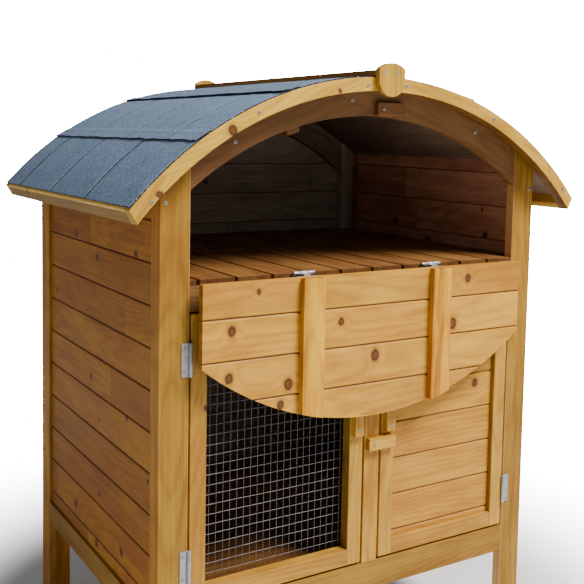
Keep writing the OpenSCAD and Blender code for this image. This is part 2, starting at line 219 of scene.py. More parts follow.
def blend(mask, a, b, kind="RGBA", mode="MIX"):
    """Goes from a to b as mask goes from 0 to 1."""
    node = add(mask.tree, "Mix", data_type=kind)
    if kind == "RGBA":
        node.blend_type = mode
    first = {"FLOAT": 2, "VECTOR": 4, "RGBA": 6}[kind]
    plug(mask.tree, mask, node.inputs[0])
    plug(mask.tree, a, node.inputs[first])
    plug(mask.tree, b, node.inputs[first + 1])
    return Signal(node.outputs[first // 2 - 1])


def ramp(value, low, high, a=0.0, b=1.0):
    """A smooth step from a to b while value goes from low to high."""
    step = {0: value, 1: low, 2: high, 3: a, 4: b}
    return take(value.tree, "MapRange", step, interpolation_type="SMOOTHSTEP")


def split_xyz(place):
    """The three numbers of a place, by axis."""
    node = add(place.tree, "SeparateXYZ", {0: place})
    return {axis: Signal(socket) for axis, socket in zip("xyz", node.outputs)}


def split_colour(colour):
    """The three numbers of a colour."""
    return [Signal(socket) for socket in add(colour.tree, "SeparateColor", {0: colour}).outputs]


def length(a, b):
    """The distance made of two parts at right angles."""
    return calc("SQRT", a * a + b * b)


def near_edge(share, width):
    """How far the nearer end of a piece is, from the share of its width."""
    return calc("MINIMUM", share, 1 - share) * width


print("arithmetic helpers ready")

# %% [markdown]
# An effect that several materials share goes into a node group, which is a box with
# named sockets. The helpers open a group, give it its results and place a copy of
# it in a tree.

# %% Make the group helpers
def new_group(name, inputs, outputs):
    """A shader node group; returns it with its inputs by name."""
    tree = bpy.data.node_groups.new(name, "ShaderNodeTree")
    for label, kind, value in inputs:
        socket = tree.interface.new_socket(label, in_out="INPUT", socket_type="NodeSocket" + kind)
        if value is not None:
            socket.default_value = value
    for label, kind in outputs:
        tree.interface.new_socket(label, in_out="OUTPUT", socket_type="NodeSocket" + kind)
    given = signals(tree.nodes.new("NodeGroupInput"))
    tree.nodes.new("NodeGroupOutput")
    return tree, given


def give(tree, results):
    """Links a group's results to its outputs."""
    for label, value in results.items():
        plug(tree, value, tree.nodes["Group Output"].inputs[label])


def use_group(tree, group, inputs):
    """Puts a node group into a tree; returns its outputs by name."""
    node = tree.nodes.new("ShaderNodeGroup")
    node.node_tree = group
    for key, value in inputs.items():
        plug(tree, value, node.inputs[key])
    return signals(node)


print("group helpers ready")

# %% [markdown]
# ## Boards
#
# A boarded wall is one solid with V grooves, but on the real hutch each board came
# from another length of timber, and cheap boards are glued up from short lengths
# too. This group counts the boards and the lengths in each, gives every length a
# random number that shifts its grain and tone, and says how far the nearest joint
# is, so that the stain can gather in it. A separate material for each board would
# look the same and need seventy of them.

# %% Build the group that tells the boards apart
FINGERS, FINGER_DEPTH = 14.0, 0.004
FIRST_LENGTH, NEXT_LENGTH = 7.3, 0.37
boards_group, given = new_group(
    "Boards", [("Across", "Float", 0), ("Along", "Float", 0), ("First Joint", "Float", 0),
               ("Board Width", "Float", 0.05), ("Board Length", "Float", 0.6), ("Seed", "Float", 0)],
    [("Random", "Float"), ("Joint Distance", "Float"), ("Butt Joint", "Float")])
tree = boards_group
steps = (given["Across"] - given["First Joint"]) / given["Board Width"]
number = calc("FLOOR", steps) + given["Seed"]
part = calc("FRACT", steps)
dice = take(tree, "TexWhiteNoise", {"W": number}, "Value", noise_dimensions="1D")
lengths = given["Along"] / given["Board Length"] + dice * FIRST_LENGTH
lengths = lengths + calc("PINGPONG", part * FINGERS, 1.0) * FINGER_DEPTH
butt = near_edge(calc("FRACT", lengths), given["Board Length"])
give(tree, {"Random": calc("FRACT", dice + calc("FLOOR", lengths) * NEXT_LENGTH),
         "Joint Distance": near_edge(part, given["Board Width"]),
         "Butt Joint": ramp(butt, 0.0002, 0.0011, 1, 0)})
print("boards group:", len(tree.nodes), "nodes")

# %% [markdown]
# ## Knots
#
# A knot is where a branch met the trunk: a dark ring round a browner middle, with
# the grain flowing round it. This group turns a distance from the knot's centre,
# counted in knot sizes, into its dark parts and into a push that bends the growth
# rings. A little noise keeps it from being a perfect circle.

# %% Build the group that draws a knot
KNOT_PARTS = ("Core", "Rim", "Push")
WOBBLE, PUSH_FADE = 0.5, -0.16
knot_look, given = new_group(
    "Knot Look", [("Distance", "Float", 9), ("Vector", "Vector", None)],
    [(k, "Float") for k in KNOT_PARTS])
wobble = take(knot_look, "TexNoise", {"Vector": given["Vector"], "Scale": 260, "Detail": 2}, "Fac")
far = given["Distance"] + (wobble - 0.5) * WOBBLE
core = ramp(far, 0.8, 1.15, 1, 0)
rim = ramp(far, 0.55, 0.85) * ramp(far, 0.95, 1.35, 1, 0)
heart = ramp(far, 0.1, 0.32, 0.5, 0)
push = calc("EXPONENT", far * far * PUSH_FADE)
give(knot_look, {"Core": core, "Rim": calc("MAXIMUM", rim, heart), "Push": push})
print("knot look:", len(knot_look.nodes), "nodes")

# %% [markdown]
# Most boards just need knots here and there. A Voronoi texture gives one point per
# cell, so each cell may hold one knot, and a random number says whether it does and
# how big it is.

# %% Build the group that scatters knots
FAR_AWAY, KNOT_SHIFTS = 50.0, (("x", 37.0), ("y", 11.0))
scattered_knots, given = new_group(
    "Scattered Knots", [("Vector", "Vector", None), ("Random", "Float", 0), ("Spacing", "Float", 0.16),
                        ("Size", "Float", 0.005), ("Share", "Float", 0.5)],
    [(k, "Float") for k in KNOT_PARTS])
tree = scattered_knots
place = split_xyz(given["Vector"])
shifted = [place[axis] / given["Spacing"] + given["Random"] * shift for axis, shift in KNOT_SHIFTS]
flat = take(tree, "CombineXYZ", dict(enumerate(shifted)))
cells = signals(add(tree, "TexVoronoi", {"Vector": flat, "Scale": 1.0}, voronoi_dimensions="2D"))
dice = split_colour(cells["Color"])
size = given["Size"] * (0.5 + dice[1] * 0.8)
far = cells["Distance"] * given["Spacing"] / size
absent = (dice[0] > given["Share"]) * FAR_AWAY
give(tree, use_group(tree, knot_look, {"Distance": far + absent, "Vector": given["Vector"]}))
print("scattered knots:", len(tree.nodes), "nodes")

# %% [markdown]
# The flap and the curved front boards show their knots plainly, so those are put
# exactly where they belong. Each placed knot takes in the knots made before it and
# adds its own, so they can be chained.

# %% Build the group that places one knot
KNOT_HEIGHT = 0.8
placed_knot, given = new_group(
    "Placed Knot", [("Vector", "Vector", None), ("Along", "Float", 0), ("Across", "Float", 0),
                    ("Size", "Float", 0.005)] + [(k, "Float", 0) for k in KNOT_PARTS],
    [(k, "Float") for k in KNOT_PARTS])
tree = placed_knot
place = split_xyz(given["Vector"])
far = length(place["x"] - given["Along"], (place["y"] - given["Across"]) * KNOT_HEIGHT)
look = use_group(tree, knot_look, {"Distance": far / given["Size"], "Vector": given["Vector"]})
give(tree, {label: calc("MAXIMUM", look[label], given[label]) for label in KNOT_PARTS})
print("placed knot:", len(tree.nodes), "nodes")

# %% [markdown]
# ## Pine grain
#
# A board is a slice through the trunk's growth rings. The group measures how far a
# point is from a slowly wandering heart of the tree and counts rings in that
# distance, so the face shows long arches and the end shows arcs, both from the same
# sum. Each ring darkens slowly and stops sharply.

# %% Build the growth rings
PLANK, BEND, RINGS_PUSHED = 0.11, 0.016, 1.5
GRAIN_SHIFT = (5.3, 0.83, 0.41)
pine_group, given = new_group(
    "Pine Grain",
    [("Vector", "Vector", None), ("Random", "Float", 0), ("Pale", "Color", (1, 1, 1, 1)),
     ("Dark", "Color", (0, 0, 0, 1)), ("Ring Width", "Float", 0.004), ("Streaks", "Float", 0.5),
     ("Joint Distance", "Float", 1.0), ("Butt Joint", "Float", 0), ("End Face", "Float", 0)]
    + [(k, "Float", 0) for k in KNOT_PARTS],
    [("Color", "Color"), ("Roughness", "Float"), ("Height", "Float")])
tree = pine_group
shift = take(tree, "CombineXYZ", {i: given["Random"] * by for i, by in enumerate(GRAIN_SHIFT)})
place = take(tree, "VectorMath", {0: given["Vector"], 1: shift}, operation="ADD")


def stretched(place, along_scale, across_scale, detail, rough=0.5):
    """Noise drawn out along the grain."""
    scales = (along_scale, across_scale, across_scale)
    scaled = take(place.tree, "VectorMath", {0: place, 1: scales}, operation="MULTIPLY")
    return take(place.tree, "TexNoise", {"Vector": scaled, "Scale": 1.0, "Detail": detail,
                                         "Roughness": rough}, "Fac")


drift = stretched(place, 1.6, 0.0, 1)
bend = stretched(place, 5.0, 14.0, 2)
in_plank = calc("MODULO", split_xyz(place)["y"] + 9.0, PLANK)
from_heart = length(in_plank - PLANK / 2 + (bend - 0.5) * BEND, drift * 0.09 + 0.002)
rings = from_heart / given["Ring Width"] + given["Push"] * RINGS_PUSHED
late = calc("POWER", calc("PINGPONG", rings, 0.5), 2.2) * 4.6
print("growth rings:", len(tree.nodes), "nodes")

# %% [markdown]
# The rings alone would look printed. Softwood also takes stain unevenly, so long
# streaks, fine lines, cloudy patches and hair-thin fibres are added to the rings,
# each as noise drawn out along the grain, and the sum picks between the pale and the
# dark shade of the stain. The broad patches also turn the hue a little.

# %% Build the figure of the stained wood
NOISE_MIDDLE = 0.47
fibre = stretched(place, 14.0, 900.0, 3, 0.7)
streak = stretched(place, 2.2, 75.0, 3, 0.6)
line = stretched(place, 4.0, 330.0, 2, 0.6)
cloud = stretched(place, 11.0, 38.0, 4, 0.62)
patch = stretched(place, 4.0, 9.0, 2)
streaks = given["Streaks"] * 1.7
amount = late * 0.24
patterns = (streak, streaks), (line, streaks * 0.45), (fibre, 0.45), (cloud, 1.15), (patch, 0.6)
for pattern, strength in patterns:
    amount = amount + (pattern - NOISE_MIDDLE) * strength
figure = blend(ramp(amount, -0.32, 0.62), given["Pale"], given["Dark"])
tone = 0.88 + given["Random"] * 0.24
hue = 0.499 + given["Random"] * 0.005 + (0.5 - patch) * 0.02
wood_colour = take(tree, "HueSaturation", {"Color": figure, "Value": tone, "Hue": hue})
print("with the figure:", len(tree.nodes), "nodes")

# %% [markdown]
# Last come the places where the wood is darkest: round the knots, on the ends of
# boards, which drink the stain, and in the joints, where it gathers. The end mask also
# carries painted shade on the bargeboards' undersides. The fibres and rings also give
# a height for the bump, because brushed pine isn't quite smooth.

# %% Add the knots, ends and joints to the grain
KNOT_BROWN = (0.11, 0.035, 0.013, 1)
RIM_BROWN = (0.055, 0.015, 0.007, 1)
# The end colour darkens real end grain, and also the bargeboards' undersides as painted shade.
END_AND_SHADE_BROWN = (0.24, 0.14, 0.12, 1)
JOINT_BROWN = (0.115, 0.030, 0.009, 1)
push = given["Push"]
wood_colour = blend(ramp(push, 0.25, 0.95, 0, 0.7), wood_colour, given["Dark"])
wood_colour = blend(ramp(push, 0.55, 0.95, 0, 0.45), wood_colour, KNOT_BROWN)
wood_colour = blend(given["Core"] * 0.8, wood_colour, KNOT_BROWN)
wood_colour = blend(given["Rim"] * 0.85, wood_colour, RIM_BROWN)
wood_colour = blend(given["Butt Joint"] * 0.6, wood_colour, RIM_BROWN)
# Ends drink the stain; on the bargeboards this mask also holds painted shade on the underside.
wood_colour = blend(given["End Face"] * 0.9, wood_colour, END_AND_SHADE_BROWN, mode="MULTIPLY")
in_joint = ramp(given["Joint Distance"], 0.0004, 0.0018, 0.78, 0)
wood_colour = blend(in_joint, wood_colour, JOINT_BROWN)
height = fibre * 0.5 + late * 0.25 - given["Rim"] * 0.8
give(tree, {"Color": wood_colour, "Roughness": 0.40 + fibre * 0.22, "Height": height})
print("pine group:", len(tree.nodes), "nodes")

# %% [markdown]
# ## Which way the grain runs
#
# Timber is always sawn along the trunk, so uprights, rails and boards each need the
# grain turned their own way. One small group per direction puts the coordinates in
# the order along, across, through, and marks the faces where the board was cut
# across. A planed end takes about half the extra stain of a rough one. Turning the
# coordinates is simpler than unwrapping forty solids.

# %% Build the groups that turn the grain
PLANED_END = 0.5


def grain_group(order):
    """A group that puts coordinates in the order along, across, through, such as "zxy"."""
    group, given = new_group(
        "Grain " + order.upper(), [("Position", "Vector", None), ("Normal", "Vector", None)],
        [("Vector", "Vector"), ("End Face", "Float")])
    place, face = split_xyz(given["Position"]), split_xyz(given["Normal"])
    turned = take(group, "CombineXYZ", {i: place[axis] for i, axis in enumerate(order)})
    lengthwise = calc("ABSOLUTE", face[order[0]])
    give(group, {"Vector": turned, "End Face": ramp(lengthwise, 0.6, 0.9, 0, PLANED_END)})
    return group


grain_groups = {order: grain_group(order) for order in ("zxy", "xzy", "yzx", "xyz", "yxz")}
print("grain directions:", sorted(grain_groups))

# %% [markdown]
# A door frame has uprights and rails in one solid, and the rails are let in between
# the uprights. This group changes the grain's direction where a rail begins, and
# draws the hairline of that joint.

# %% Build the group for frames
rail_group, given = new_group(
    "Rail Split", [("Position", "Vector", None), ("Middle", "Float", 0), ("Half Width", "Float", 0.1),
                   ("Upright", "Vector", None), ("Rail", "Vector", None), ("Upright End", "Float", 0),
                   ("Rail End", "Float", 0)],
    [("Vector", "Vector"), ("End Face", "Float"), ("Butt Joint", "Float")])
from_middle = calc("ABSOLUTE", split_xyz(given["Position"])["x"] - given["Middle"])
past = from_middle - given["Half Width"]
in_rail = past < 0.0
give(rail_group, {
    "Vector": blend(in_rail, given["Upright"], given["Rail"], "VECTOR"),
    "End Face": blend(in_rail, given["Upright End"], given["Rail End"], "FLOAT"),
    "Butt Joint": ramp(calc("ABSOLUTE", past), 0.0002, 0.0009, 0.8, 0)})
print("rail split:", len(rail_group.nodes), "nodes")

# %% [markdown]
# The arches and bargeboards are curved, but nobody bends boards that thick. They are
# sawn from short straight planks, so the grain stays straight in each length, runs
# out at the curved edges, and meets the next length at a slanted joint. On the hollow
# side, below a given radius, the group marks a bargeboard's underside for painted
# shade, which darkens it like an end.

# %% Build the group for curved boards
ARC_SLANT = 5.0
arc_group, given = new_group(
    "Sawn Arc", [("Position", "Vector", None), ("Centre Height", "Float", 0), ("Radius", "Float", 0.45),
                 ("Length Angle", "Float", 0.7), ("Painted Shade Radius", "Float", 0)],
    [("Vector", "Vector"), ("Length", "Float"), ("Butt Joint", "Float"), ("End Face", "Float")])
tree = arc_group
place = split_xyz(given["Position"])
up = place["z"] - given["Centre Height"]
angle = calc("ARCTAN2", place["x"], up)
radius = length(place["x"], up)
lengths = (angle + (radius - given["Radius"]) * ARC_SLANT) / given["Length Angle"]
number = calc("FLOOR", lengths)
from_middle = angle - (number + 0.5) * given["Length Angle"]
along = radius * calc("SINE", from_middle) + number
across = radius * calc("COSINE", from_middle)
sawn = given["Length Angle"] * given["Radius"]
gap = near_edge(calc("FRACT", lengths), sawn)
# Here the End Face output marks painted shade on the hollow side below the given radius, not cut ends.
give(tree, {"Vector": take(tree, "CombineXYZ", {0: along, 1: across, 2: place["y"]}), "Length": number,
         "Butt Joint": ramp(gap, 0.0002, 0.0014, 1, 0), "End Face": radius < given["Painted Shade Radius"]})
print("sawn arc:", len(tree.nodes), "nodes")

# %% [markdown]
# Some faces get a second pair of shades as painted light and shade: painted shade on the
# faces inside the hutch, painted bounce light on the inner side walls and on a stile's
# inner side, painted light on the corner posts' outer sides and on the left eave's upper
# strip, and painted shade on that eave's outer face. This group picks one pair for
# whatever lies within the given bounds and the other pair for the rest.

# %% Build the group that picks painted light and shade for some faces
face_light_group, given = new_group(
    "Painted Face Light", [("Position", "Vector", None), ("Half Width", "Float", 1), ("Back", "Float", 1),
                   ("Bottom", "Float", 0), ("Outer Pale", "Color", None), ("Outer Dark", "Color", None),
                   ("Inner Pale", "Color", None), ("Inner Dark", "Color", None)],
    [("Pale", "Color"), ("Dark", "Color")])
place = split_xyz(given["Position"])
inside = calc("ABSOLUTE", place["x"]) < given["Half Width"]
inside = inside * (place["y"] < given["Back"]) * (place["z"] > given["Bottom"])
give(face_light_group, {shade: blend(inside, given["Outer " + shade], given["Inner " + shade])
                   for shade in ("Pale", "Dark")})
print("inner face:", len(face_light_group.nodes), "nodes")

# %% [markdown]
# ## Wood materials
#
# All the timber is the same pine, so one function makes every wood material from the
# groups above: it turns the grain, tells the boards apart, adds knots, picks the
# shades and plugs the pine group into a Principled shader. A thin water-based stain
# leaves pine nearly matt, so the shader's specular level stays low.

# %% Make the material helpers
def new_material(name):
    """An empty material; returns it with its tree, shader and coordinates."""
    material = bpy.data.materials.new(name)
    material.use_nodes = True
    tree = material.node_tree
    return material, tree, tree.nodes["Principled BSDF"], signals(tree.nodes.new("ShaderNodeTexCoord"))


def finish_shader(tree, shader, look, strength, distance):
    """Plugs a group's colour, roughness and height into a shader."""
    plug(tree, look["Color"], shader.inputs["Base Color"])
    plug(tree, look["Roughness"], shader.inputs["Roughness"])
    bump = take(tree, "Bump", {"Height": look["Height"], "Strength": strength, "Distance": distance})
    plug(tree, bump, shader.inputs["Normal"])


def grain_way(tree, coords, order, rails, arc, seed):
    """Coordinates turned along the grain, end-face mask (on curved boards the painted shade of the
    underside), random number and joint mask.
    """
    position = coords["Object"]
    if arc:
        way = use_group(tree, arc_group, {"Position": position, "Centre Height": roof_z, "Radius": arc[1],
                                          "Length Angle": arc[0], "Painted Shade Radius": arc[2]})
        random = calc("FRACT", seed + way["Length"] * NEXT_LENGTH)
        return way["Vector"], way["End Face"], random, way["Butt Joint"]
    place = {"Position": position, "Normal": coords["Normal"]}
    way = use_group(tree, grain_groups[order], place)
    if not rails:
        return way["Vector"], way["End Face"], seed, 0.0
    rail = use_group(tree, grain_groups[rails[2]], place)
    way = use_group(tree, rail_group, {
        "Position": position, "Middle": rails[0], "Half Width": rails[1], "Upright": way["Vector"],
        "Rail": rail["Vector"], "Upright End": way["End Face"], "Rail End": rail["End Face"]})
    return way["Vector"], way["End Face"], seed, way["Butt Joint"]


print("material helpers ready")

# %% [markdown]
# A wood material then asks, in this order: which way does the grain run here, which
# board is this, are there knots, and which pair of shades does this face take? The
# answers all go into the pine group.

# %% Write the wood material maker
PINE_GLOSS, BOARDS_BELOW = 0.22, 40


def wood(name, order, pale, dark, boards=None, ring=0.004, streaks=0.5, scatter=(0.16, 0.0045, 0.35),
         knots=(), rails=None, arc=None, seed=0.0, inner=None):
    """Stained pine. boards is (axis, first joint, board width, length of a piece), scatter is
    (spacing, size, share) of the chance knots and knots lists (along, across, size) of the placed
    ones, rails is (middle, half width, order), arc is (angle of one sawn length, middle radius,
    radius below which the underside is darkened as painted shade), and inner is (half width,
    back, bottom, pale, dark) for the faces within those bounds, which take that second pair
    of painted light and shade. The boards are counted from far below the floor, so no number
    is below zero."""
    material, tree, shader, coords = new_material(name)
    position = coords["Object"]
    vector, end_and_shade, random, butt = grain_way(tree, coords, order, rails, arc, seed)
    joint = 1.0
    if boards:
        place = split_xyz(position)
        split = use_group(tree, boards_group, {
            "Across": place[boards[0]], "Along": place[order[0]],
            "First Joint": boards[1] - BOARDS_BELOW * boards[2],
            "Board Width": boards[2], "Board Length": boards[3], "Seed": seed * 10})
        random, joint, butt = (split[k] for k in ("Random", "Joint Distance", "Butt Joint"))
    found = use_group(tree, scattered_knots, {"Vector": vector, "Random": random, "Spacing": scatter[0],
                                              "Size": scatter[1], "Share": scatter[2]})
    for along, across, size in knots:
        found = use_group(tree, placed_knot, {"Vector": vector, "Along": along, "Across": across,
                                              "Size": size, **found})
    if inner:
        faces = use_group(tree, face_light_group, {
            "Position": position, "Half Width": inner[0], "Back": inner[1], "Bottom": inner[2],
            "Outer Pale": pale, "Outer Dark": dark, "Inner Pale": inner[3], "Inner Dark": inner[4]})
        pale, dark = faces["Pale"], faces["Dark"]
    grain = use_group(tree, pine_group, {
        "Vector": vector, "Random": random, "Pale": pale, "Dark": dark, "Ring Width": ring,
        "Streaks": streaks, "Joint Distance": joint, "Butt Joint": butt, "End Face": end_and_shade, **found})
    finish_shader(tree, shader, grain, 0.25, 0.0006)
    shader.inputs["Specular IOR Level"].default_value = PINE_GLOSS
    return material


print("wood maker ready")

# %% [markdown]
# ## The shades of the stain, and of painted light and shade
#
# Each shade is a pair: the colour where the stain lies thin and where it lies thick.
# The walls took it darkest, the flap and the bargeboards lightest. The blue part of
# every pair is very low, because that is what makes a honey colour glow under white
# light. Several pairs are painted light and shade, not stain: a lighter copy for the
# doors, brighter and paler copies for some side faces and the eave's upper strip, darker
# ones for the arches, the eave's outer face and the deck, a dull grey one for the faces
# inside, and a warm glow for the inner side walls.

# %% Name the shades
FRONT = ((0.42, 0.222, 0.024, 1), (0.25, 0.105, 0.008, 1))
# This pair is painted light: a lighter copy of the front pair for the doors, which lie below the roof's
# shadow on the stiles.
DOOR_LIT = ((0.62, 0.335, 0.045, 1), (0.37, 0.160, 0.016, 1))
FLAP = ((0.69, 0.345, 0.044, 1), (0.43, 0.178, 0.017, 1))
BARGE = ((0.64, 0.370, 0.046, 1), (0.40, 0.190, 0.020, 1))
BATTEN = ((0.78, 0.385, 0.024, 1), (0.38, 0.125, 0.005, 1))
WALL = ((0.46, 0.178, 0.008, 1), (0.29, 0.092, 0.0035, 1))
# This pair is painted light: a brighter, redder copy for the corner posts' outer side faces.
POST_SIDE_LIT = ((0.62, 0.265, 0.022, 1), (0.37, 0.130, 0.008, 1))
# This pair is painted light: a paler, less golden copy for a stile's inner side face, standing in for
# bounced light on that shaded face.
STILE_SIDE_BOUNCE = ((0.80, 0.47, 0.19, 1), (0.56, 0.28, 0.095, 1))
# This pair is painted shade: a darker copy of the bargeboards' pair for the left eave board's outer face.
EAVE_FACE_SHADE = ((0.33, 0.185, 0.022, 1), (0.20, 0.094, 0.009, 1))
# This pair is painted light: a paler pair for the left eave board's upper strip, lit from above.
EAVE_TOP_LIT = ((0.95, 0.60, 0.130, 1), (0.68, 0.38, 0.060, 1))
# This pair is painted shade: a darker copy of the stain for parts that lie in shade, such as the arches
# under the bargeboards.
SHADED = ((0.25, 0.118, 0.038, 1), (0.145, 0.058, 0.016, 1))
# This pair is painted shade: a dull, greyer pair for the faces inside the hutch, which lie in shade.
INSIDE_SHADE = ((0.46, 0.42, 0.34, 1), (0.27, 0.23, 0.17, 1))
# This pair is painted shade too: it darkens the roof deck's underside and the back arch's inner face.
DECK_SHADE = ((0.30, 0.22, 0.16, 1), (0.17, 0.115, 0.08, 1))
# This pair is painted light: a warm, paler glow for the inner side walls, standing in for light bounced
# inside the hutch.
WALL_BOUNCE_GLOW = ((0.70, 0.37, 0.23, 1), (0.42, 0.185, 0.10, 1))
SLATS = ((0.26, 0.116, 0.031, 1), (0.135, 0.049, 0.011, 1))
print("shades of the flap:", FLAP[0][:3], "to", FLAP[1][:3])

# %% [markdown]
# ## The frame's timber
#
# The legs, posts and rails are planed softwood of about 25 mm. Their grain runs
# along each piece, with a knot now and then. The door frames, door post and pulls get
# a lighter copy of the front pair, painted light for the doors below the shadow that
# the roof casts on the stiles. The corner posts' outer sides get a brighter, redder pair
# and a stile's inner side a paler one, both painted light; the back posts' inner faces,
# the loft rails, the flap stop and the crown button get painted shade.

# %% Make the frame's finishes
NO_KNOTS = (0.16, 0.003, 0.0)
back_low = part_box("back_boards")[0]
mesh_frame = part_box("mesh_door_frame")
solid_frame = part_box("solid_door_frame")
door_frame_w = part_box("solid_door_boards")[0].x - solid_frame[0].x
stile_inner_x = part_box("front_stile_right")[0].x


def frame_opening(low_high):
    """Middle and half width of a door frame's opening."""
    return ((low_high[0].x + low_high[1].x) / 2, (low_high[1].x - low_high[0].x) / 2 - door_frame_w)


finishes = {
    "upright": wood("pine_upright", "zxy", *FRONT, ring=0.0042, streaks=0.7, seed=0.3,
                    # A stile's inner side face takes the paler pair: painted bounce light.
                    inner=(stile_inner_x + 0.0005, 1.0, 0.0, *STILE_SIDE_BOUNCE)),
    # The corner posts' outer side faces take the brighter pair as painted light; their front faces keep
    # the front pair.
    "side_post": wood("pine_side_post", "zxy", *POST_SIDE_LIT, ring=0.0042, streaks=0.7, seed=0.3,
                      scatter=NO_KNOTS, inner=(half_width - 0.0005, 1.0, 0.0, *FRONT)),
    "back_upright": wood("pine_back_upright", "zxy", *WALL, seed=0.7,
                         # The back posts' inner faces take the inside pair: painted shade.
                         inner=(1.0, 1.0, back_low.z, *INSIDE_SHADE)),
    # The door post, pulls, door frames and post button take the lighter door pair: painted light.
    "door_upright": wood("pine_door_upright", "zxy", *DOOR_LIT, streaks=0.7, seed=0.62),
    # The loft rails take the darker pair: painted shade.
    "rail": wood("pine_rail", "xzy", *SHADED, seed=0.1),
    "bottom_rail": wood("pine_bottom_rail", "yzx", *FRONT, seed=0.2,
                        rails=(0.0, half_width - 0.03, "xzy")),
    "mesh_door": wood("pine_mesh_door", "zxy", *DOOR_LIT, seed=0.15,
                      rails=(*frame_opening(mesh_frame), "xzy")),
    "solid_door": wood("pine_solid_door", "zxy", *DOOR_LIT, seed=0.45,
                       rails=(*frame_opening(solid_frame), "xzy")),
    # The crown button and the flap stop take the darker pair: painted shade.
    "crown_button": wood("pine_crown_button", "xzy", *SHADED, scatter=NO_KNOTS, seed=0.97),
    "post_button": wood("pine_post_button", "xzy", *DOOR_LIT, scatter=NO_KNOTS, seed=0.95),
    "stop": wood("pine_stop", "zxy", *SHADED, seed=0.52, scatter=(0.2, 0.003, 0.0)),
}
print("frame finishes:", len(finishes))

# %% [markdown]
# ## Walls, floors and doors of boards
#
# The walls and doors are tongue-and-groove boards 52 mm wide, and the loft floor is
# loose slats. Each call says where a joint lies, so the stain falls in the grooves
# that the solid model has.

# %% Make the boards' finishes
BOARD_W, SLAT_STEP, ONE_PIECE = 0.052, 0.0515, 5.0
wall_inner_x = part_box("side_boards_right")[0].x + 0.0005
wall_joint, door_joint = loft_z + 0.018, loft_z - 0.221
finishes.update({
    "side_wall": wood("pine_side_wall", "yzx", *WALL, boards=("z", wall_joint, BOARD_W, 0.9), seed=0.4,
                      # The side walls' inner faces take the warm pair: painted bounce light.
                      scatter=(0.11, 0.0036, 0.5), inner=(wall_inner_x, 1.0, 0.0, *WALL_BOUNCE_GLOW)),
    "back_wall": wood("pine_back_wall", "xzy", *WALL, boards=("z", wall_joint, BOARD_W, 0.45), seed=0.6,
                      # The back wall's inner face takes the inside pair: painted shade.
                      inner=(1.0, back_low.y + 0.0005, 0.0, *INSIDE_SHADE)),
    "floor": wood("pine_floor", "xyz", *SLATS, scatter=(0.2, 0.004, 0.1)),
    "slats": wood("pine_slats", "yxz", *SLATS, boards=("x", 0.007, SLAT_STEP, ONE_PIECE), seed=0.8),
    "door_boards": wood("pine_door_boards", "xzy", *FLAP, boards=("z", door_joint, BOARD_W, ONE_PIECE),
                        seed=0.25, streaks=0.3, scatter=(0.16, 0.004, 0.0),
                        knots=[(0.2048, loft_z - 0.1841, 0.0042)]),
})
print("finishes with the boards:", len(finishes))

# %% [markdown]
# ## Arches, bargeboards and roof
#
# The bargeboards are the pale curved edge of the roof, with three knots on the left
# one. A knot is given by its angle from the crown and its distance from the roof's
# middle, and a helper turns that into the straight grain of the length it lies in.
# The eave boards are planed at a slant. The left one's outer face gets a darker pair as
# painted shade and its upper strip a paler pair as painted light; the front arches, the
# deck and the back arch's inner face get painted shade, and the bargeboards' undersides
# are darkened as painted shade.

# %% Make the curved boards' finishes
sawn_length = math.radians(41)
# Below the second radius a bargeboard's underside is darkened as painted shade.
barge_r, barge_shade_radius = deck_top - 0.009, deck_top - 0.0174
# The arches get no darkened underside.
arch_r, no_shaded_underside = deck_top - 0.045, 0.0
eave_edge_z = roof_z + math.sqrt(deck_top ** 2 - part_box("eave_right")[1].x ** 2)


def on_arc(angle, radius):
    """Where a knot lies in the straight grain of a curved board."""
    number = math.floor((angle + ARC_SLANT * (radius - barge_r)) / sawn_length)
    from_middle = angle - (number + 0.5) * sawn_length
    return radius * math.sin(from_middle) + number, radius * math.cos(from_middle)


barge_knots = [(-44.9, 446.4, 3.2), (-29.9, 449.1, 4.6), (-9.6, 447.2, 2.0)]
finishes.update({
    # The front arches take the darker pair: painted shade under the bargeboards.
    "arch": wood("pine_arch", "xzy", *SHADED, arc=(sawn_length, arch_r, no_shaded_underside), seed=0.5),
    "back_arch": wood("pine_back_arch", "xzy", *WALL, arc=(sawn_length, arch_r, no_shaded_underside), seed=0.6,
                      # The back arch's inner face takes the deck's darker pair: painted shade.
                      inner=(1.0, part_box("back_arch")[1].y - 0.001, 0.0, *DECK_SHADE)),
    "barge": wood("pine_bargeboard", "xyz", *BARGE, arc=(sawn_length, barge_r, barge_shade_radius), seed=0.35,
                  scatter=NO_KNOTS,
                  knots=[(*on_arc(math.radians(a), r * MM), size * MM) for a, r, size in barge_knots]),
    # The deck's darker pair is painted shade on the roof's underside.
    "deck": wood("plywood_deck", "yxz", *DECK_SHADE, scatter=(0.3, 0.004, 0.05), seed=0.9),
    # The left eave's outer face takes the darker pair as painted shade, its upper strip the paler pair as
    # painted light.
    "eave": wood("pine_eave", "yzx", *EAVE_FACE_SHADE, seed=0.55,
                 inner=(1.0, 1.0, eave_edge_z - 0.0026, *EAVE_TOP_LIT)),
    "right_eave": wood("pine_right_eave", "yzx", *BARGE, seed=0.58),
    "ridge": wood("pine_ridge", "yzx", *WALL, seed=0.65),
    "finial": wood("pine_finial", "zxy", *BARGE, scatter=NO_KNOTS, seed=0.05),
})
print("finishes with the curved boards:", len(finishes))

# %% [markdown]
# ## The flap
#
# The half-moon flap is what one looks at first. Its boards have wide growth rings,
# few streaks and nine knots, each given across and down in millimetres from the
# middle of its hinged edge. The battens are streaky, because they were cut from the
# edge of a plank.

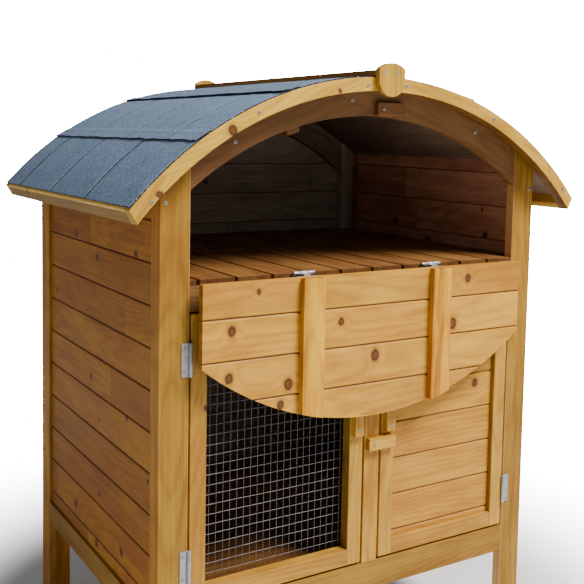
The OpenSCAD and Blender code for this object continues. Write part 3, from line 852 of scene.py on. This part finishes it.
# %% Make the flap's finishes
flap_knots = [(-180.1, -15.9, 2.6), (-216.5, -61.3, 4.6), (-57.7, -63.7, 3.6), (-219.7, -118.9, 4.6),
              (-136.0, -135.8, 5.2), (-146.9, -161.0, 4.0), (156.8, -21.2, 4.2), (131.1, -83.2, 5.6),
              (-2.2, -113.7, 5.4)]
flap_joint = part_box("flap_panel")[1].z - 0.043
finishes.update({
    "flap": wood("pine_flap", "xzy", *FLAP, boards=("z", flap_joint, BOARD_W, ONE_PIECE), ring=0.0065,
                 streaks=0.25, scatter=(0.16, 0.004, 0.0), seed=0.85,
                 knots=[(x * MM, loft_z + z * MM, size * MM) for x, z, size in flap_knots]),
    "batten": wood("pine_batten", "zxy", *BATTEN, streaks=0.75, scatter=NO_KNOTS, seed=0.75),
})
print("all wood finishes:", len(finishes))

# %% [markdown]
# ## Zinc-plated steel
#
# Hinges, screws and wires are zinc-plated steel: grey, slightly mottled and a little
# scuffed, never mirror-bright. The group gives a cloudy grey and a roughness that
# follows it. Crystals of zinc are a few millimetres wide, which a Voronoi texture
# shows well.

# %% Build the zinc group and its materials
zinc_group, given = new_group(
    "Zinc", [("Vector", "Vector", None), ("Color", "Color", (0.62, 0.63, 0.65, 1)),
             ("Patch", "Float", 260)],
    [("Color", "Color"), ("Roughness", "Float"), ("Height", "Float")])
tree = zinc_group
patches = signals(add(tree, "TexVoronoi", {"Vector": given["Vector"], "Scale": given["Patch"]}))
grey = split_colour(patches["Color"])[0]
scuff = take(tree, "TexNoise", {"Vector": given["Vector"], "Scale": 900, "Detail": 3}, "Fac")
value = 0.85 + grey * 0.25
give(tree, {"Color": take(tree, "HueSaturation", {"Color": given["Color"], "Value": value}),
         "Roughness": 0.36 + scuff * 0.3, "Height": scuff})


def zinc(name, colour, metallic=1.0, patch=260.0):
    """Plated steel of one shade."""
    material, tree, shader, coords = new_material(name)
    plate = use_group(tree, zinc_group, {"Vector": coords["Object"], "Color": colour, "Patch": patch})
    finish_shader(tree, shader, plate, 0.1, 0.0002)
    shader.inputs["Metallic"].default_value = metallic
    return material


finishes["hinge"] = zinc("zinc_hinge", (0.42, 0.42, 0.43, 1), 0.65)
finishes["screw"] = zinc("zinc_screw", (0.45, 0.44, 0.42, 1))
finishes["pin"] = zinc("zinc_pin", (0.20, 0.13, 0.07, 1), 0.6)
finishes["wire"] = zinc("zinc_wire", (0.17, 0.165, 0.16, 1), 0.7, 120.0)
print("zinc group:", len(tree.nodes), "nodes")

# %% [markdown]
# ## Roofing felt
#
# The felt is a bitumen sheet with crushed slate pressed into it. Each granule has
# its own shade of blue-grey, a few catch the light, and wide faint blotches come
# from the pressing. The sheet over the crown gets a darker blue-grey as painted shade,
# which offsets the extra light on its upward-facing top, and the cut edges show the
# black bitumen, so both get a material of their own.

# %% Build the felt group and its materials
GRANULE, BRIGHT_GRANULE = 0.0008, (0.48, 0.54, 0.60, 1)
felt_group, given = new_group(
    "Slate Felt", [("Vector", "Vector", None), ("Color", "Color", (0.2, 0.25, 0.32, 1)),
                   ("Granule", "Float", GRANULE)],
    [("Color", "Color"), ("Roughness", "Float"), ("Height", "Float")])
tree = felt_group
grains = signals(add(tree, "TexVoronoi", {"Vector": given["Vector"], "Scale": 1 / given["Granule"]}))
shade = split_colour(grains["Color"])
blotch = take(tree, "TexNoise", {"Vector": given["Vector"], "Scale": 22, "Detail": 4}, "Fac")
mottle = take(tree, "TexNoise", {"Vector": given["Vector"], "Scale": 420, "Detail": 1}, "Fac")
value = 0.6 + shade[0] * 0.6 + (blotch - 0.5) * 0.35 + (mottle - 0.5) * 0.7
tinted = take(tree, "HueSaturation", {"Color": given["Color"], "Value": value})
bright = ramp(shade[1], 0.93, 0.97)
give(tree, {"Color": blend(bright, tinted, BRIGHT_GRANULE), "Roughness": 0.85 - bright * 0.4,
         "Height": 1 - grains["Distance"]})


def felt(name, colour, strength=0.35):
    """Slate-faced felt of one shade."""
    material, tree, shader, coords = new_material(name)
    sheet = use_group(tree, felt_group, {"Vector": coords["Object"], "Color": colour, "Granule": GRANULE})
    finish_shader(tree, shader, sheet, strength, 0.0004)
    shader.inputs["Specular IOR Level"].default_value = 0.15
    return material


finishes["felt"] = felt("slate_felt", (0.142, 0.206, 0.307, 1))
# The top sheet's darker colour is painted shade, offsetting the extra light that its upward-facing top
# catches.
finishes["felt_crown_shade"] = felt("slate_felt_crown_shade", (0.126, 0.180, 0.264, 1))
finishes["felt_edge"] = felt("bitumen_edge", (0.012, 0.013, 0.016, 1), 0.3)
print("felt group:", len(tree.nodes), "nodes")

# %% [markdown]
# ## Dress the solid boards
#
# Every solid is still bare. This list says which finish each of them wears, so a
# change of timber is a change of one line.

# %% Say which solid wears which finish
dress = {
    "upright": ["front_stile_left", "front_stile_right"],
    "side_post": ["side_post_front_left", "side_post_front_right", "side_post_rear_left",
                  "side_post_rear_right"],
    "door_upright": ["door_post", "door_pulls"],
    "stop": ["flap_stop"],
    "back_upright": ["back_stile_left", "back_stile_right"],
    "rail": ["loft_rails"],
    "bottom_rail": ["bottom_rails"],
    "side_wall": ["side_boards_left", "side_boards_right"],
    "back_wall": ["back_boards"],
    "arch": ["front_arch_left", "front_arch_right"],
    "back_arch": ["back_arch"],
    "floor": ["cage_floor"],
    "slats": ["loft_slats"],
    "mesh_door": ["mesh_door_frame"],
    "solid_door": ["solid_door_frame"],
    "door_boards": ["solid_door_boards"],
    "deck": ["roof_deck"],
    "barge": ["bargeboard_front_left", "bargeboard_front_right", "bargeboard_rear"],
    "eave": ["eave_left"],
    "right_eave": ["eave_right"],
    "ridge": ["ridge_board"],
    "finial": ["finial_front", "finial_rear"],
    "flap": ["flap_panel"],
    "batten": ["flap_battens"],
    "hinge": ["hinge_plates", "flap_hinges"],
    "screw": ["button_screws"],
    "crown_button": ["crown_button"],
    "post_button": ["post_button"],
}
print("solids to dress:", sum(len(names) for names in dress.values()), "in", len(dress), "finishes")

# %% [markdown]
# Sawn timber never has a perfectly sharp edge, and a sharp edge in a render catches
# no light. So each solid gets a Weld modifier, which joins the points that the
# export left apart, and a Bevel of under a millimetre. Its shape isn't changed.

# %% Give each solid its finish and its softened edges
WOOD_EDGE, METAL_EDGE, WELD_REACH, SHARPEST_LEFT = 0.0008, 0.0003, 0.00002, 32


def soften(node, width):
    """Joins split points and rounds the edges a little."""
    weld = node.modifiers.new("Weld", "WELD")
    weld.merge_threshold = WELD_REACH
    bevel = node.modifiers.new("Bevel", "BEVEL")
    bevel.width = width
    bevel.segments = 2
    bevel.limit_method = "ANGLE"
    bevel.angle_limit = math.radians(SHARPEST_LEFT)
    bevel.harden_normals = True


for finish, names in dress.items():
    for name in names:
        node = nodes[name]
        node.data.materials.clear()
        node.data.materials.append(finishes[finish])
        soften(node, METAL_EDGE if finish in ("hinge", "screw") else WOOD_EDGE)
print("softened edges:", WOOD_EDGE, "m wide on wood,", METAL_EDGE, "m on steel")

# %% [markdown]
# ## The felt courses
#
# The roof is covered from the eaves up: two courses cut into tabs and a top sheet
# over the crown, each lapping over the one below, so that rain never meets a seam.
# Cloth simulation could drape them, but points laid on the roof's own circle are
# exact and come out the same on every run. First the solid courses are measured.
# Felt is laid by hand, and here the upper courses hang about two centimetres lower
# than they are drawn, and the lowest one almost reaches the edge of the eave board.

# %% Measure the felt courses
def felt_angles(node, layers):
    """Angles from the crown to a course's foot and to its upper edge."""
    xs = [abs(v.co.x) for v in nodes[node].data.vertices]
    return math.asin(max(xs) / (deck_top + layers * felt_t)), math.asin(min(xs) / deck_top)


MID_HANG, TOP_HANG, EAVE_HANG = 0.017, 0.021, 0.0028
low_foot, low_top = felt_angles("felt_low", 1)
mid_foot, mid_top = felt_angles("felt_mid", 2)
ridge_foot = felt_angles("felt_ridge", 2)[0]
lap = (mid_foot - low_top) * deck_top
low_foot += EAVE_HANG / deck_top
low_top, mid_foot = (a + MID_HANG / deck_top for a in (low_top, mid_foot))
mid_top, ridge_foot = (a + TOP_HANG / deck_top for a in (mid_top, ridge_foot))
felt_y0 = barge_y + 0.001
felt_y1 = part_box("bargeboard_rear")[1].y - 0.003
feet = [round(math.degrees(angle), 1) for angle in (low_foot, mid_foot, ridge_foot)]
print("felt feet, degrees from the crown:", feet, " lap", round(lap, 4))

# %% [markdown]
# A cut edge of felt wanders by a millimetre or two. Smooth noise gives that wander,
# and a soft step serves wherever a sheet bends. The helper that turns finished faces
# into a piece is here too: it hangs the piece on a body, so that it moves with it.

# %% Make the helpers for modelled pieces
# The top sheet's third material is its darker, painted-shade felt.
CUT_EDGE, TOP_SHEET_SHADE = 1, 2


def ragged(y, seed, size):
    """A small wander that depends on the place along the edge."""
    return size * (noise.noise(Vector((y * 38, seed, 0))) + 0.5 * noise.noise(Vector((y * 140, seed, 7))))


def ease(value, low, high):
    """0 below low, 1 above high and smooth between."""
    part = min(1.0, max(0.0, (value - low) / (high - low)))
    return part * part * (3 - 2 * part)


def mesh_object(name, bm, material_names, body, smooth=True):
    """Turns a bmesh into a piece that rides on a body."""
    bmesh.ops.recalc_face_normals(bm, faces=bm.faces)
    mesh = bpy.data.meshes.new(name)
    bm.to_mesh(mesh)
    bm.free()
    for material_name in material_names:
        mesh.materials.append(finishes[material_name])
    for face in mesh.polygons:
        face.use_smooth = smooth and face.material_index != CUT_EDGE
    piece = bpy.data.objects.new(name, mesh)
    bpy.context.collection.objects.link(piece)
    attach(piece, body)
    return piece


print("piece helpers ready")

# %% [markdown]
# The height of a sheet over the deck is what makes it look like felt. Along its foot
# it lies on the course below, further in it drops down to the deck, its edge curls
# up by about a millimetre, and its face has faint ripples. On the right side the
# front edge starts a little further back.

# %% Write how high a sheet lies
CURL_WIDTH, RIPPLE = 0.012, 0.00035


def sheet_radius(y, angle, run, upper, under, curl, overlap, seed):
    """Distance from the roof's middle, at a point that is run metres in from the sheet's foot."""
    radius = deck_top + under + upper * felt_t
    if overlap:
        radius += felt_t * (1 - ease(run, overlap - 0.001, overlap + 0.005))
    wave = 1 + 0.7 * noise.noise(Vector((y * 22, seed, 3)))
    radius += curl * wave * (1 - ease(run, 0, CURL_WIDTH))
    ripple = noise.noise(Vector((y * 30, angle * 14, seed)))
    return radius + RIPPLE * upper * ripple * ease(run, 0, 0.02)


def set_back(y, angle):
    """How far the front edge is moved back on the right half."""
    return 0.007 * ease(angle, -0.05, 0.15) * max(0.0, 1 - (y - felt_y0) / 0.03)


plain_height = sheet_radius(0, 0, 1, 1, 0, 0, 0, 0) - deck_top
print("a plain sheet's upper face lies", round(plain_height / MM, 2), "mm up")

# %% [markdown]
# A sheet is two grids of points, its under side and its upper side, joined by a
# strip round the rim. The points are closer together near the foot, where the sheet
# bends most. The strip takes the second material, the black cut edge.

# %% Write the maker of one sheet
def close_sheet(bm, grid, rows, cols, shade):
    """Faces over both grids of a sheet, and round its rim."""

    def vertex(upper, i, j):
        return grid[(upper * (rows + 1) + i) * (cols + 1) + j]

    for upper in (0, 1):
        for i in range(rows):
            for j in range(cols):
                face = bm.faces.new((vertex(upper, i, j), vertex(upper, i + 1, j),
                                     vertex(upper, i + 1, j + 1), vertex(upper, i, j + 1)))
                face.material_index = shade
    rim = [(i, 0) for i in range(rows)] + [(rows, j) for j in range(cols)]
    rim += [(i, cols) for i in range(rows, 0, -1)] + [(0, j) for j in range(cols, 0, -1)]
    for here, there in zip(rim, rim[1:] + rim[:1]):
        face = bm.faces.new((vertex(0, *here), vertex(0, *there), vertex(1, *there), vertex(1, *here)))
        face.material_index = CUT_EDGE


def felt_sheet(bm, y0, y1, foot, top, under, curl, seed, rows, cols, overlap=0.0, both=False):
    """A sheet from its foot, an angle that depends on y, up to its top angle, or over the
    crown to a second foot if both is set."""
    grid = []
    for upper in (0, 1):
        for i in range(rows + 1):
            y = y0 + (y1 - y0) * i / rows
            a, b = foot(y), -foot(-y) if both else top
            for j in range(cols + 1):
                share = 0.5 - 0.5 * math.cos(math.pi * j / cols) if both else (j / cols) ** 1.6
                angle = a + (b - a) * share
                run = abs(angle - a) * deck_top
                if both:
                    run = min(run, abs(angle - b) * deck_top)
                radius = sheet_radius(y, angle, run, upper, under, curl, overlap, seed)
                grid.append(bm.verts.new(on_roof(angle, y + set_back(y, angle), radius)))
    # The top sheet takes the darker felt, as painted shade.
    close_sheet(bm, grid, rows, cols, TOP_SHEET_SHADE if both else 0)


print("sheet maker ready")

# %% [markdown]
# The tabs are made by slits cut along the eaves side. Each side of the roof gets a
# plain sheet under the slits, so that no wood shows in them, then a low and a middle
# course. The top sheet goes on last, in one piece over the crown.

# %% Lay the courses
LOW_CUTS, MID_CUTS = (120, 262, 412), (52, 190, 338)
LOW_WANDER, MID_WANDER, TOP_WANDER = 0.0007, 0.0022, 0.0026
BACKING = 0.0003


def tabs(cuts, width):
    """The stretches between cuts along the eaves."""
    stops = [felt_y0] + [front_y + y * MM for y in cuts] + [felt_y1]
    last = len(stops) - 2
    return [(stops[k] + (width / 2 if k else 0), stops[k + 1] - (width / 2 if k < last else 0))
            for k in range(last + 1)]


def low_edge(y):
    """The foot of the low course, which never hangs past the eave."""
    return hand * (low_foot - abs(ragged(y, 3.1 * hand, LOW_WANDER)) / deck_top)


def mid_edge(y):
    """The foot of the middle course."""
    return hand * (mid_foot + ragged(y, 5.0 * hand, MID_WANDER) / deck_top)


def top_edge(y):
    """The left foot of the top sheet."""
    return -ridge_foot + ragged(y, 9.0, TOP_WANDER) / deck_top


sheets = bmesh.new()
for hand in (-1, 1):
    felt_sheet(sheets, felt_y0 + 0.001, felt_y1 - 0.001, lambda y: hand * (low_foot - 0.010),
               hand * mid_top, BACKING - felt_t, 0.0, 2.0, 4, 30)
    for k, (y0, y1) in enumerate(tabs(LOW_CUTS, 0.002)):
        felt_sheet(sheets, y0, y1, low_edge, hand * low_top, BACKING, 0.0002, 1.0 + k, 30, 36)
    for k, (y0, y1) in enumerate(tabs(MID_CUTS, 0.0009)):
        felt_sheet(sheets, y0, y1, mid_edge, hand * mid_top, 0.0, 0.0008, 4.0 + k, 30, 44, overlap=lap)
felt_sheet(sheets, felt_y0, felt_y1, top_edge, 0.0, 0.0, 0.0014, 9.0, 110, 110, overlap=lap, both=True)
felt_piece = mesh_object("felt_courses", sheets, ["felt", "felt_edge", "felt_crown_shade"], "hutch")
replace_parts(felt_piece, "felt_low", "felt_mid", "felt_ridge")
print("felt faces:", len(felt_piece.data.polygons))

# %% [markdown]
# ## The welded mesh
#
# Welded mesh is two layers of round wire, upright ones behind and level ones in
# front, fused where they cross. A curve with a round bevel would make a wire too,
# but a tube built straight from points gives clean closed ends and few faces.

# %% Write the wire maker
def tube(bm, points, radius, sides=6):
    """A round wire along a line of points, closed at both ends."""
    depth = Vector((0, 1, 0))
    across = (points[-1] - points[0]).normalized().cross(depth).normalized()
    turns = [2 * math.pi * k / sides for k in range(sides)]
    rings = [[bm.verts.new(point + radius * (math.cos(a) * across + math.sin(a) * depth)) for a in turns]
             for point in points]
    for a, b in zip(rings, rings[1:]):
        for k in range(sides):
            bm.faces.new((a[k], a[(k + 1) % sides], b[(k + 1) % sides], b[k]))
    bm.faces.new(rings[0][::-1])
    bm.faces.new(rings[-1])


print("wire maker ready")

# %% [markdown]
# The solid mesh tells how many wires there are and how thick they may be. Cut from a
# roll and stapled by hand, no wire is quite straight, so each wanders by a fraction
# of a millimetre between its ends. The outermost ones are held by the frame and stay
# straight.

# %% Build the wires
COLUMN_STEP, ROW_STEP = 0.0099, 0.0127
upright_low, upright_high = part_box("mesh_lower")
level_low, level_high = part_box("mesh_upper")
wire = (level_high.y - level_low.y) / 2
low = Vector((level_low.x, level_low.y, upright_low.z))
high = Vector((level_high.x, upright_high.y, upright_high.z))
columns = round((high.x - low.x) / COLUMN_STEP)
rows = round((high.z - low.z) / ROW_STEP)
wires = bmesh.new()
for i in range(columns + 1):
    x = low.x + wire + (high.x - low.x - 2 * wire) * i / columns
    points = []
    for k in range(2 * rows + 1):
        z = low.z + (high.z - low.z) * k / (2 * rows)
        held = min(1.0, min(z - low.z, high.z - z) / 0.02)
        wander = 0.0005 * held * noise.noise(Vector((z * 14, i * 1.7, 1))) if 0 < i < columns else 0.0
        points.append(Vector((x + wander, high.y - wire, z)))
    tube(wires, points, wire * 0.68)
for j in range(rows + 1):
    z = low.z + wire + (high.z - low.z - 2 * wire) * j / rows
    points = []
    for k in range(2 * columns + 1):
        x = low.x + (high.x - low.x) * k / (2 * columns)
        wander = 0.0009 * noise.noise(Vector((x * 11, j * 2.3, 4))) if 0 < j < rows else 0.0
        points.append(Vector((x, low.y + wire, z + wander)))
    tube(wires, points, wire * 0.74)
mesh_piece = mesh_object("mesh_wires", wires, ["wire"], "hutch")
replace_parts(mesh_piece, "mesh_lower", "mesh_upper")
print("wires:", columns + 1, "by", rows + 1)

# %% [markdown]
# ## Screws
#
# The hutch is put together by its owner with cross-head screws, so they show. A
# head is a shallow dome with a cross-shaped recess. Cutting the cross with a Boolean
# modifier would leave thin slivers, so the face between the round rim and the cross
# is filled with triangles, and then the cross is pushed in.

# %% Write the screw maker
HEAD_SIDES, ARM, SLOT_W = 24, 0.58, 0.15
RIM, CROSS_FOOT, HEAD_SUNK, CROSS_DEPTH = 0.9, 0.8, 0.0004, 0.0009


def cross_corners(radius, twist):
    """The twelve corners of the cross, in order round the head."""
    arm, slot_w = radius * ARM, radius * SLOT_W
    corners = set()
    for quarter in range(4):
        a = twist - quarter * math.pi / 2
        for x, z in ((slot_w, slot_w), (arm, slot_w), (arm, -slot_w)):
            corners.add((round(x * math.cos(a) - z * math.sin(a), 7),
                         round(x * math.sin(a) + z * math.cos(a), 7)))
    return sorted(corners, key=lambda p: math.atan2(p[1], p[0]))


def screw(bm, place, radius, proud=0.0006, facing=-1, twist=0.0):
    """A cross-head screw whose face looks along -Y, or along Y where facing is 1."""

    def ring(outline, out):
        return [bm.verts.new(place + Vector((x, facing * out, z))) for x, z in outline]

    def wall(a, b):
        for k in range(len(a)):
            bm.faces.new((a[k], a[(k + 1) % len(a)], b[(k + 1) % len(b)], b[k]))

    circle = [(math.cos(2 * math.pi * k / HEAD_SIDES), math.sin(2 * math.pi * k / HEAD_SIDES))
              for k in range(HEAD_SIDES)]
    cross = cross_corners(radius, twist)
    rim = ring([(RIM * radius * x, RIM * radius * z) for x, z in circle], proud)
    foot = ring([(radius * x, radius * z) for x, z in circle], -HEAD_SUNK)
    lip = ring(cross, proud * 1.25)
    pit = ring([(CROSS_FOOT * x, CROSS_FOOT * z) for x, z in cross], proud - CROSS_DEPTH)
    edges = [bm.edges.new((loop[k], loop[(k + 1) % len(loop)]))
             for loop in (rim, lip) for k in range(len(loop))]
    bmesh.ops.triangle_fill(bm, edges=edges, use_beauty=True, normal=Vector((0, facing, 0)))
    wall(lip, pit)
    wall(foot, rim)
    bm.faces.new(pit)
    bm.faces.new(foot[::-1])


def screws_piece(name, places, body):
    """All the screws of one body in one piece; a place may add how far its head stands out and
    which way it looks."""
    heads = bmesh.new()
    for k, (place, radius, *rest) in enumerate(places):
        screw(heads, place, radius, *rest, twist=0.35 + 1.1 * k)
    return mesh_object(name, heads, ["screw"], body, smooth=False)


print("screw maker ready,", len(cross_corners(1, 0)), "corners in a cross")

# %% [markdown]
# Six screws hold the curved front boards, three the arch behind them, two the
# finial, one the top of each front corner post, and one each door pull. Those on the
# curve are given by their angle from the crown and how far in from the edge they sit.

# %% Place the screws in the wood
barge_places = [(-46.5, 0.014), (-24.7, 0.009), (-4.0, 0.010),
                (3.7, 0.009), (24.2, 0.009), (46.3, 0.008)]
frame_screws = [(on_roof(math.radians(angle), barge_y, deck_top - inward), 0.0027)
                for angle, inward in barge_places]
frame_screws += [(at(x, 0, z), 0.003) for x, z in ((-203, 165), (-32, 221), (182, 183))]
finial_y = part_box("finial_front")[0].y
frame_screws += [(Vector((x * MM, finial_y, loft_z + 0.256)), 0.0026, 0.00012) for x in (-11, 9)]
frame_screws += [(at(x, 0, z), 0.0028) for x, z in ((-293.5, 93), (293.5, 101))]
pull_low, pull_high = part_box("door_pulls")
for x in (pull_low.x + 0.007, pull_high.x - 0.007):
    frame_screws.append((Vector((x, pull_low.y, pull_low.z + 0.009)), 0.0022))
print("screws in the wood:", len(frame_screws))

# %% [markdown]
# The doors' hinge leaves and the two turn buttons carry screws too. Their places come
# from the solid leaves and screw heads themselves, so a head always sits in the
# middle of its hole.

# %% Place the screws in the doors' hinges and the buttons
HINGE_SCREW, LEAF_INSET = 0.0019, 0.0035


def corners_of(node, keep):
    """Lowest and highest corner of the points of a node that pass a test."""
    kept = [v.co for v in nodes[node].data.vertices if keep(v.co)]
    return [Vector([pick(p[axis] for p in kept) for axis in range(3)]) for pick in (min, max)]


door_hinge_points = [v.co for v in nodes["hinge_plates"].data.vertices if v.co.z < loft_z - 0.03]
leaf_x = max(p.x for p in door_hinge_points) - LEAF_INSET
leaf_y = max(p.y for p in door_hinge_points if p.x > leaf_x and p.y < front_y - 0.0004)
levels = sorted({round(p.z, 3) for p in door_hinge_points})
leaf_ends = (levels[0], 0.0056), (levels[1], -0.0056), (levels[-2], 0.0056), (levels[-1], -0.0056)
for z, inward in leaf_ends:
    frame_screws += [(Vector((hand * leaf_x, leaf_y, z + inward)), HINGE_SCREW) for hand in (-1, 1)]

for keep in (lambda p: p.z > loft_z, lambda p: p.z < loft_z):
    low, high = corners_of("button_screws", keep)
    frame_screws.append((Vector(((low.x + high.x) / 2, low.y + 0.0011, (low.z + high.z) / 2)), 0.0025))
print("screws in the door leaves:", round(leaf_x, 4), "from the middle, at", round(leaf_y, 4))

# %% [markdown]
# Each hinge of the flap has one leaf on the flap and one on the front of the hutch.
# The screws in the flap's own leaves must swing with it, so they are a separate piece.

# %% Place the screws in the flap's hinges and make the pieces
flap_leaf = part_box("flap_hinges")
flap_leaf_y = corners_of("flap_hinges", lambda p: p.z < flap_leaf[0].z + 0.002)[1].y
plate_low = corners_of("hinge_plates", lambda p: p.z > loft_z - 0.03)[0]
plate_y = corners_of("hinge_plates", lambda p: plate_low.z - 0.001 < p.z < plate_low.z + 0.002)[0].y
hinge_middle = (flap_leaf[1].x + corners_of("flap_hinges", lambda p: p.x > 0)[0].x) / 2
flap_screws = []
for x in [hand * hinge_middle + shift for hand in (-1, 1) for shift in (-0.010, 0.010)]:
    flap_screws.append((Vector((x, flap_leaf_y, flap_leaf[0].z + 0.006)), HINGE_SCREW, 0.0004, 1))
    frame_screws.append((Vector((x, plate_y, plate_low.z + 0.006)), HINGE_SCREW, 0.0004))
screws_piece("flap_hinge_screws", flap_screws, "flap")
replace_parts(screws_piece("frame_screws", frame_screws, "hutch"), "button_screws")
print("screws:", len(frame_screws), "on the frame,", len(flap_screws), "on the flap")

# %% [markdown]
# ## Pins
#
# The two battens are pinned through to the flap's boards, with a pair of small
# rusty pins at each board. A pin's head is so small that a flat cone of eight faces
# shows all of it.

# %% Drive the pins
PIN_R, PIN_SIDES, PIN_PAIRS = 0.0009, 8, 5
BATTEN_W, PIN_STEP, PAIR_STEP = 0.032, 0.05, 0.012
batten_low, batten_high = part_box("flap_battens")
pin_places = []
for middle in (batten_low.x + BATTEN_W / 2, batten_high.x - BATTEN_W / 2):
    for k, side_shift in enumerate((-0.0115, 0.0085)):
        for j in range(PIN_PAIRS):
            wander = 0.0008 * noise.noise(Vector((j, k, middle * 30)))
            place = Vector((middle + side_shift + wander, batten_low.y,
                            batten_high.z - 0.012 - PIN_STEP * j - 0.008 * k))
            pin_places += [place, place + Vector((0.0003, 0, -PAIR_STEP))]
pin_places = [place for place in pin_places if place.z > batten_low.z + 0.02]
pins = bmesh.new()
for place in pin_places:
    rim = [pins.verts.new(place + Vector((PIN_R * math.cos(a), 0.0003, PIN_R * math.sin(a))))
           for a in (2 * math.pi * k / PIN_SIDES for k in range(PIN_SIDES))]
    tip = pins.verts.new(place + Vector((0, -0.0003, 0)))
    for k in range(PIN_SIDES):
        pins.faces.new((rim[k], rim[(k + 1) % PIN_SIDES], tip))
    pins.faces.new(rim[::-1])
mesh_object("batten_pins", pins, ["pin"], "flap")
print("pins:", len(pin_places))

# %% [markdown]
# ## Light
#
# Soft studio light comes from a bright surround and one large lamp in front, high
# up on the right, which gives the eaves and the flap their soft shadows. The
# camera sees a brighter surround than the hutch does, so the backdrop is white
# while the wood keeps its depth. A Light Path node makes that choice.

# %% Light the scene
WHITE, BACKDROP_LIGHT = (1, 1, 1, 1), 40.0
world = bpy.data.worlds.new("soft_surround")
bpy.context.scene.world = world
world.use_nodes = True
sky = world.node_tree
surround = sky.nodes["Background"]
surround.inputs["Color"].default_value = (0.93, 0.96, 1.0, 1)
surround.inputs["Strength"].default_value = 0.22
backdrop = add(sky, "Background", {"Color": WHITE, "Strength": BACKDROP_LIGHT})
seen = take(sky, "LightPath", {}, "Is Camera Ray")
chosen = take(sky, "MixShader", {0: seen, 1: surround.outputs[0], 2: backdrop.outputs[0]})
plug(sky, chosen, sky.nodes["World Output"].inputs["Surface"])

softbox = bpy.data.lights.new("softbox", "AREA")
softbox.size = 1.1
softbox.energy = 225
softbox.color = (1.0, 0.98, 0.95)
lamp = bpy.data.objects.new("softbox", softbox)
bpy.context.collection.objects.link(lamp)
lamp.location = (0.9, -1.75, 3.1)
lamp.rotation_euler = (Vector((0, 0, 0.5)) - lamp.location).to_track_quat("-Z", "Y").to_euler()
print("lamp:", softbox.size, "m across,", softbox.energy, "W")

# %% [markdown]
# ## The floor
#
# The floor is plain and pale, with just enough speckle not to look painted. Further
# from the hutch it fades into the white backdrop, so that no horizon cuts across
# behind the legs.

# %% Lay the floor
FADE_FROM, FADE_TO = 0.45, 1.5
ground = bmesh.new()
bmesh.ops.create_grid(ground, x_segments=8, y_segments=8, size=6)
ground_mesh = bpy.data.meshes.new("floor")
ground.to_mesh(ground_mesh)
ground.free()
floor = bpy.data.objects.new("floor", ground_mesh)
bpy.context.collection.objects.link(floor)
material, tree, shader, coords = new_material("studio_floor")
speckle = take(tree, "TexNoise", {"Vector": coords["Object"], "Scale": 3, "Detail": 2}, "Fac")
plug(tree, blend(speckle, (0.86, 0.86, 0.85, 1), (0.9, 0.9, 0.9, 1)), shader.inputs["Base Color"])
shader.inputs["Roughness"].default_value = 0.9
away = take(tree, "VectorMath", {0: coords["Object"]}, "Value", operation="LENGTH")
seen = take(tree, "LightPath", {}, "Is Camera Ray")
fade = seen * ramp(away, FADE_FROM, FADE_TO)
glow = add(tree, "Emission", {"Color": WHITE, "Strength": BACKDROP_LIGHT})
faded = take(tree, "MixShader", {0: fade, 1: shader.outputs[0], 2: glow.outputs[0]})
plug(tree, faded, tree.nodes["Material Output"].inputs["Surface"])
ground_mesh.materials.append(material)
print("floor:", len(ground_mesh.polygons), "faces")

# %% [markdown]
# ## Finish
#
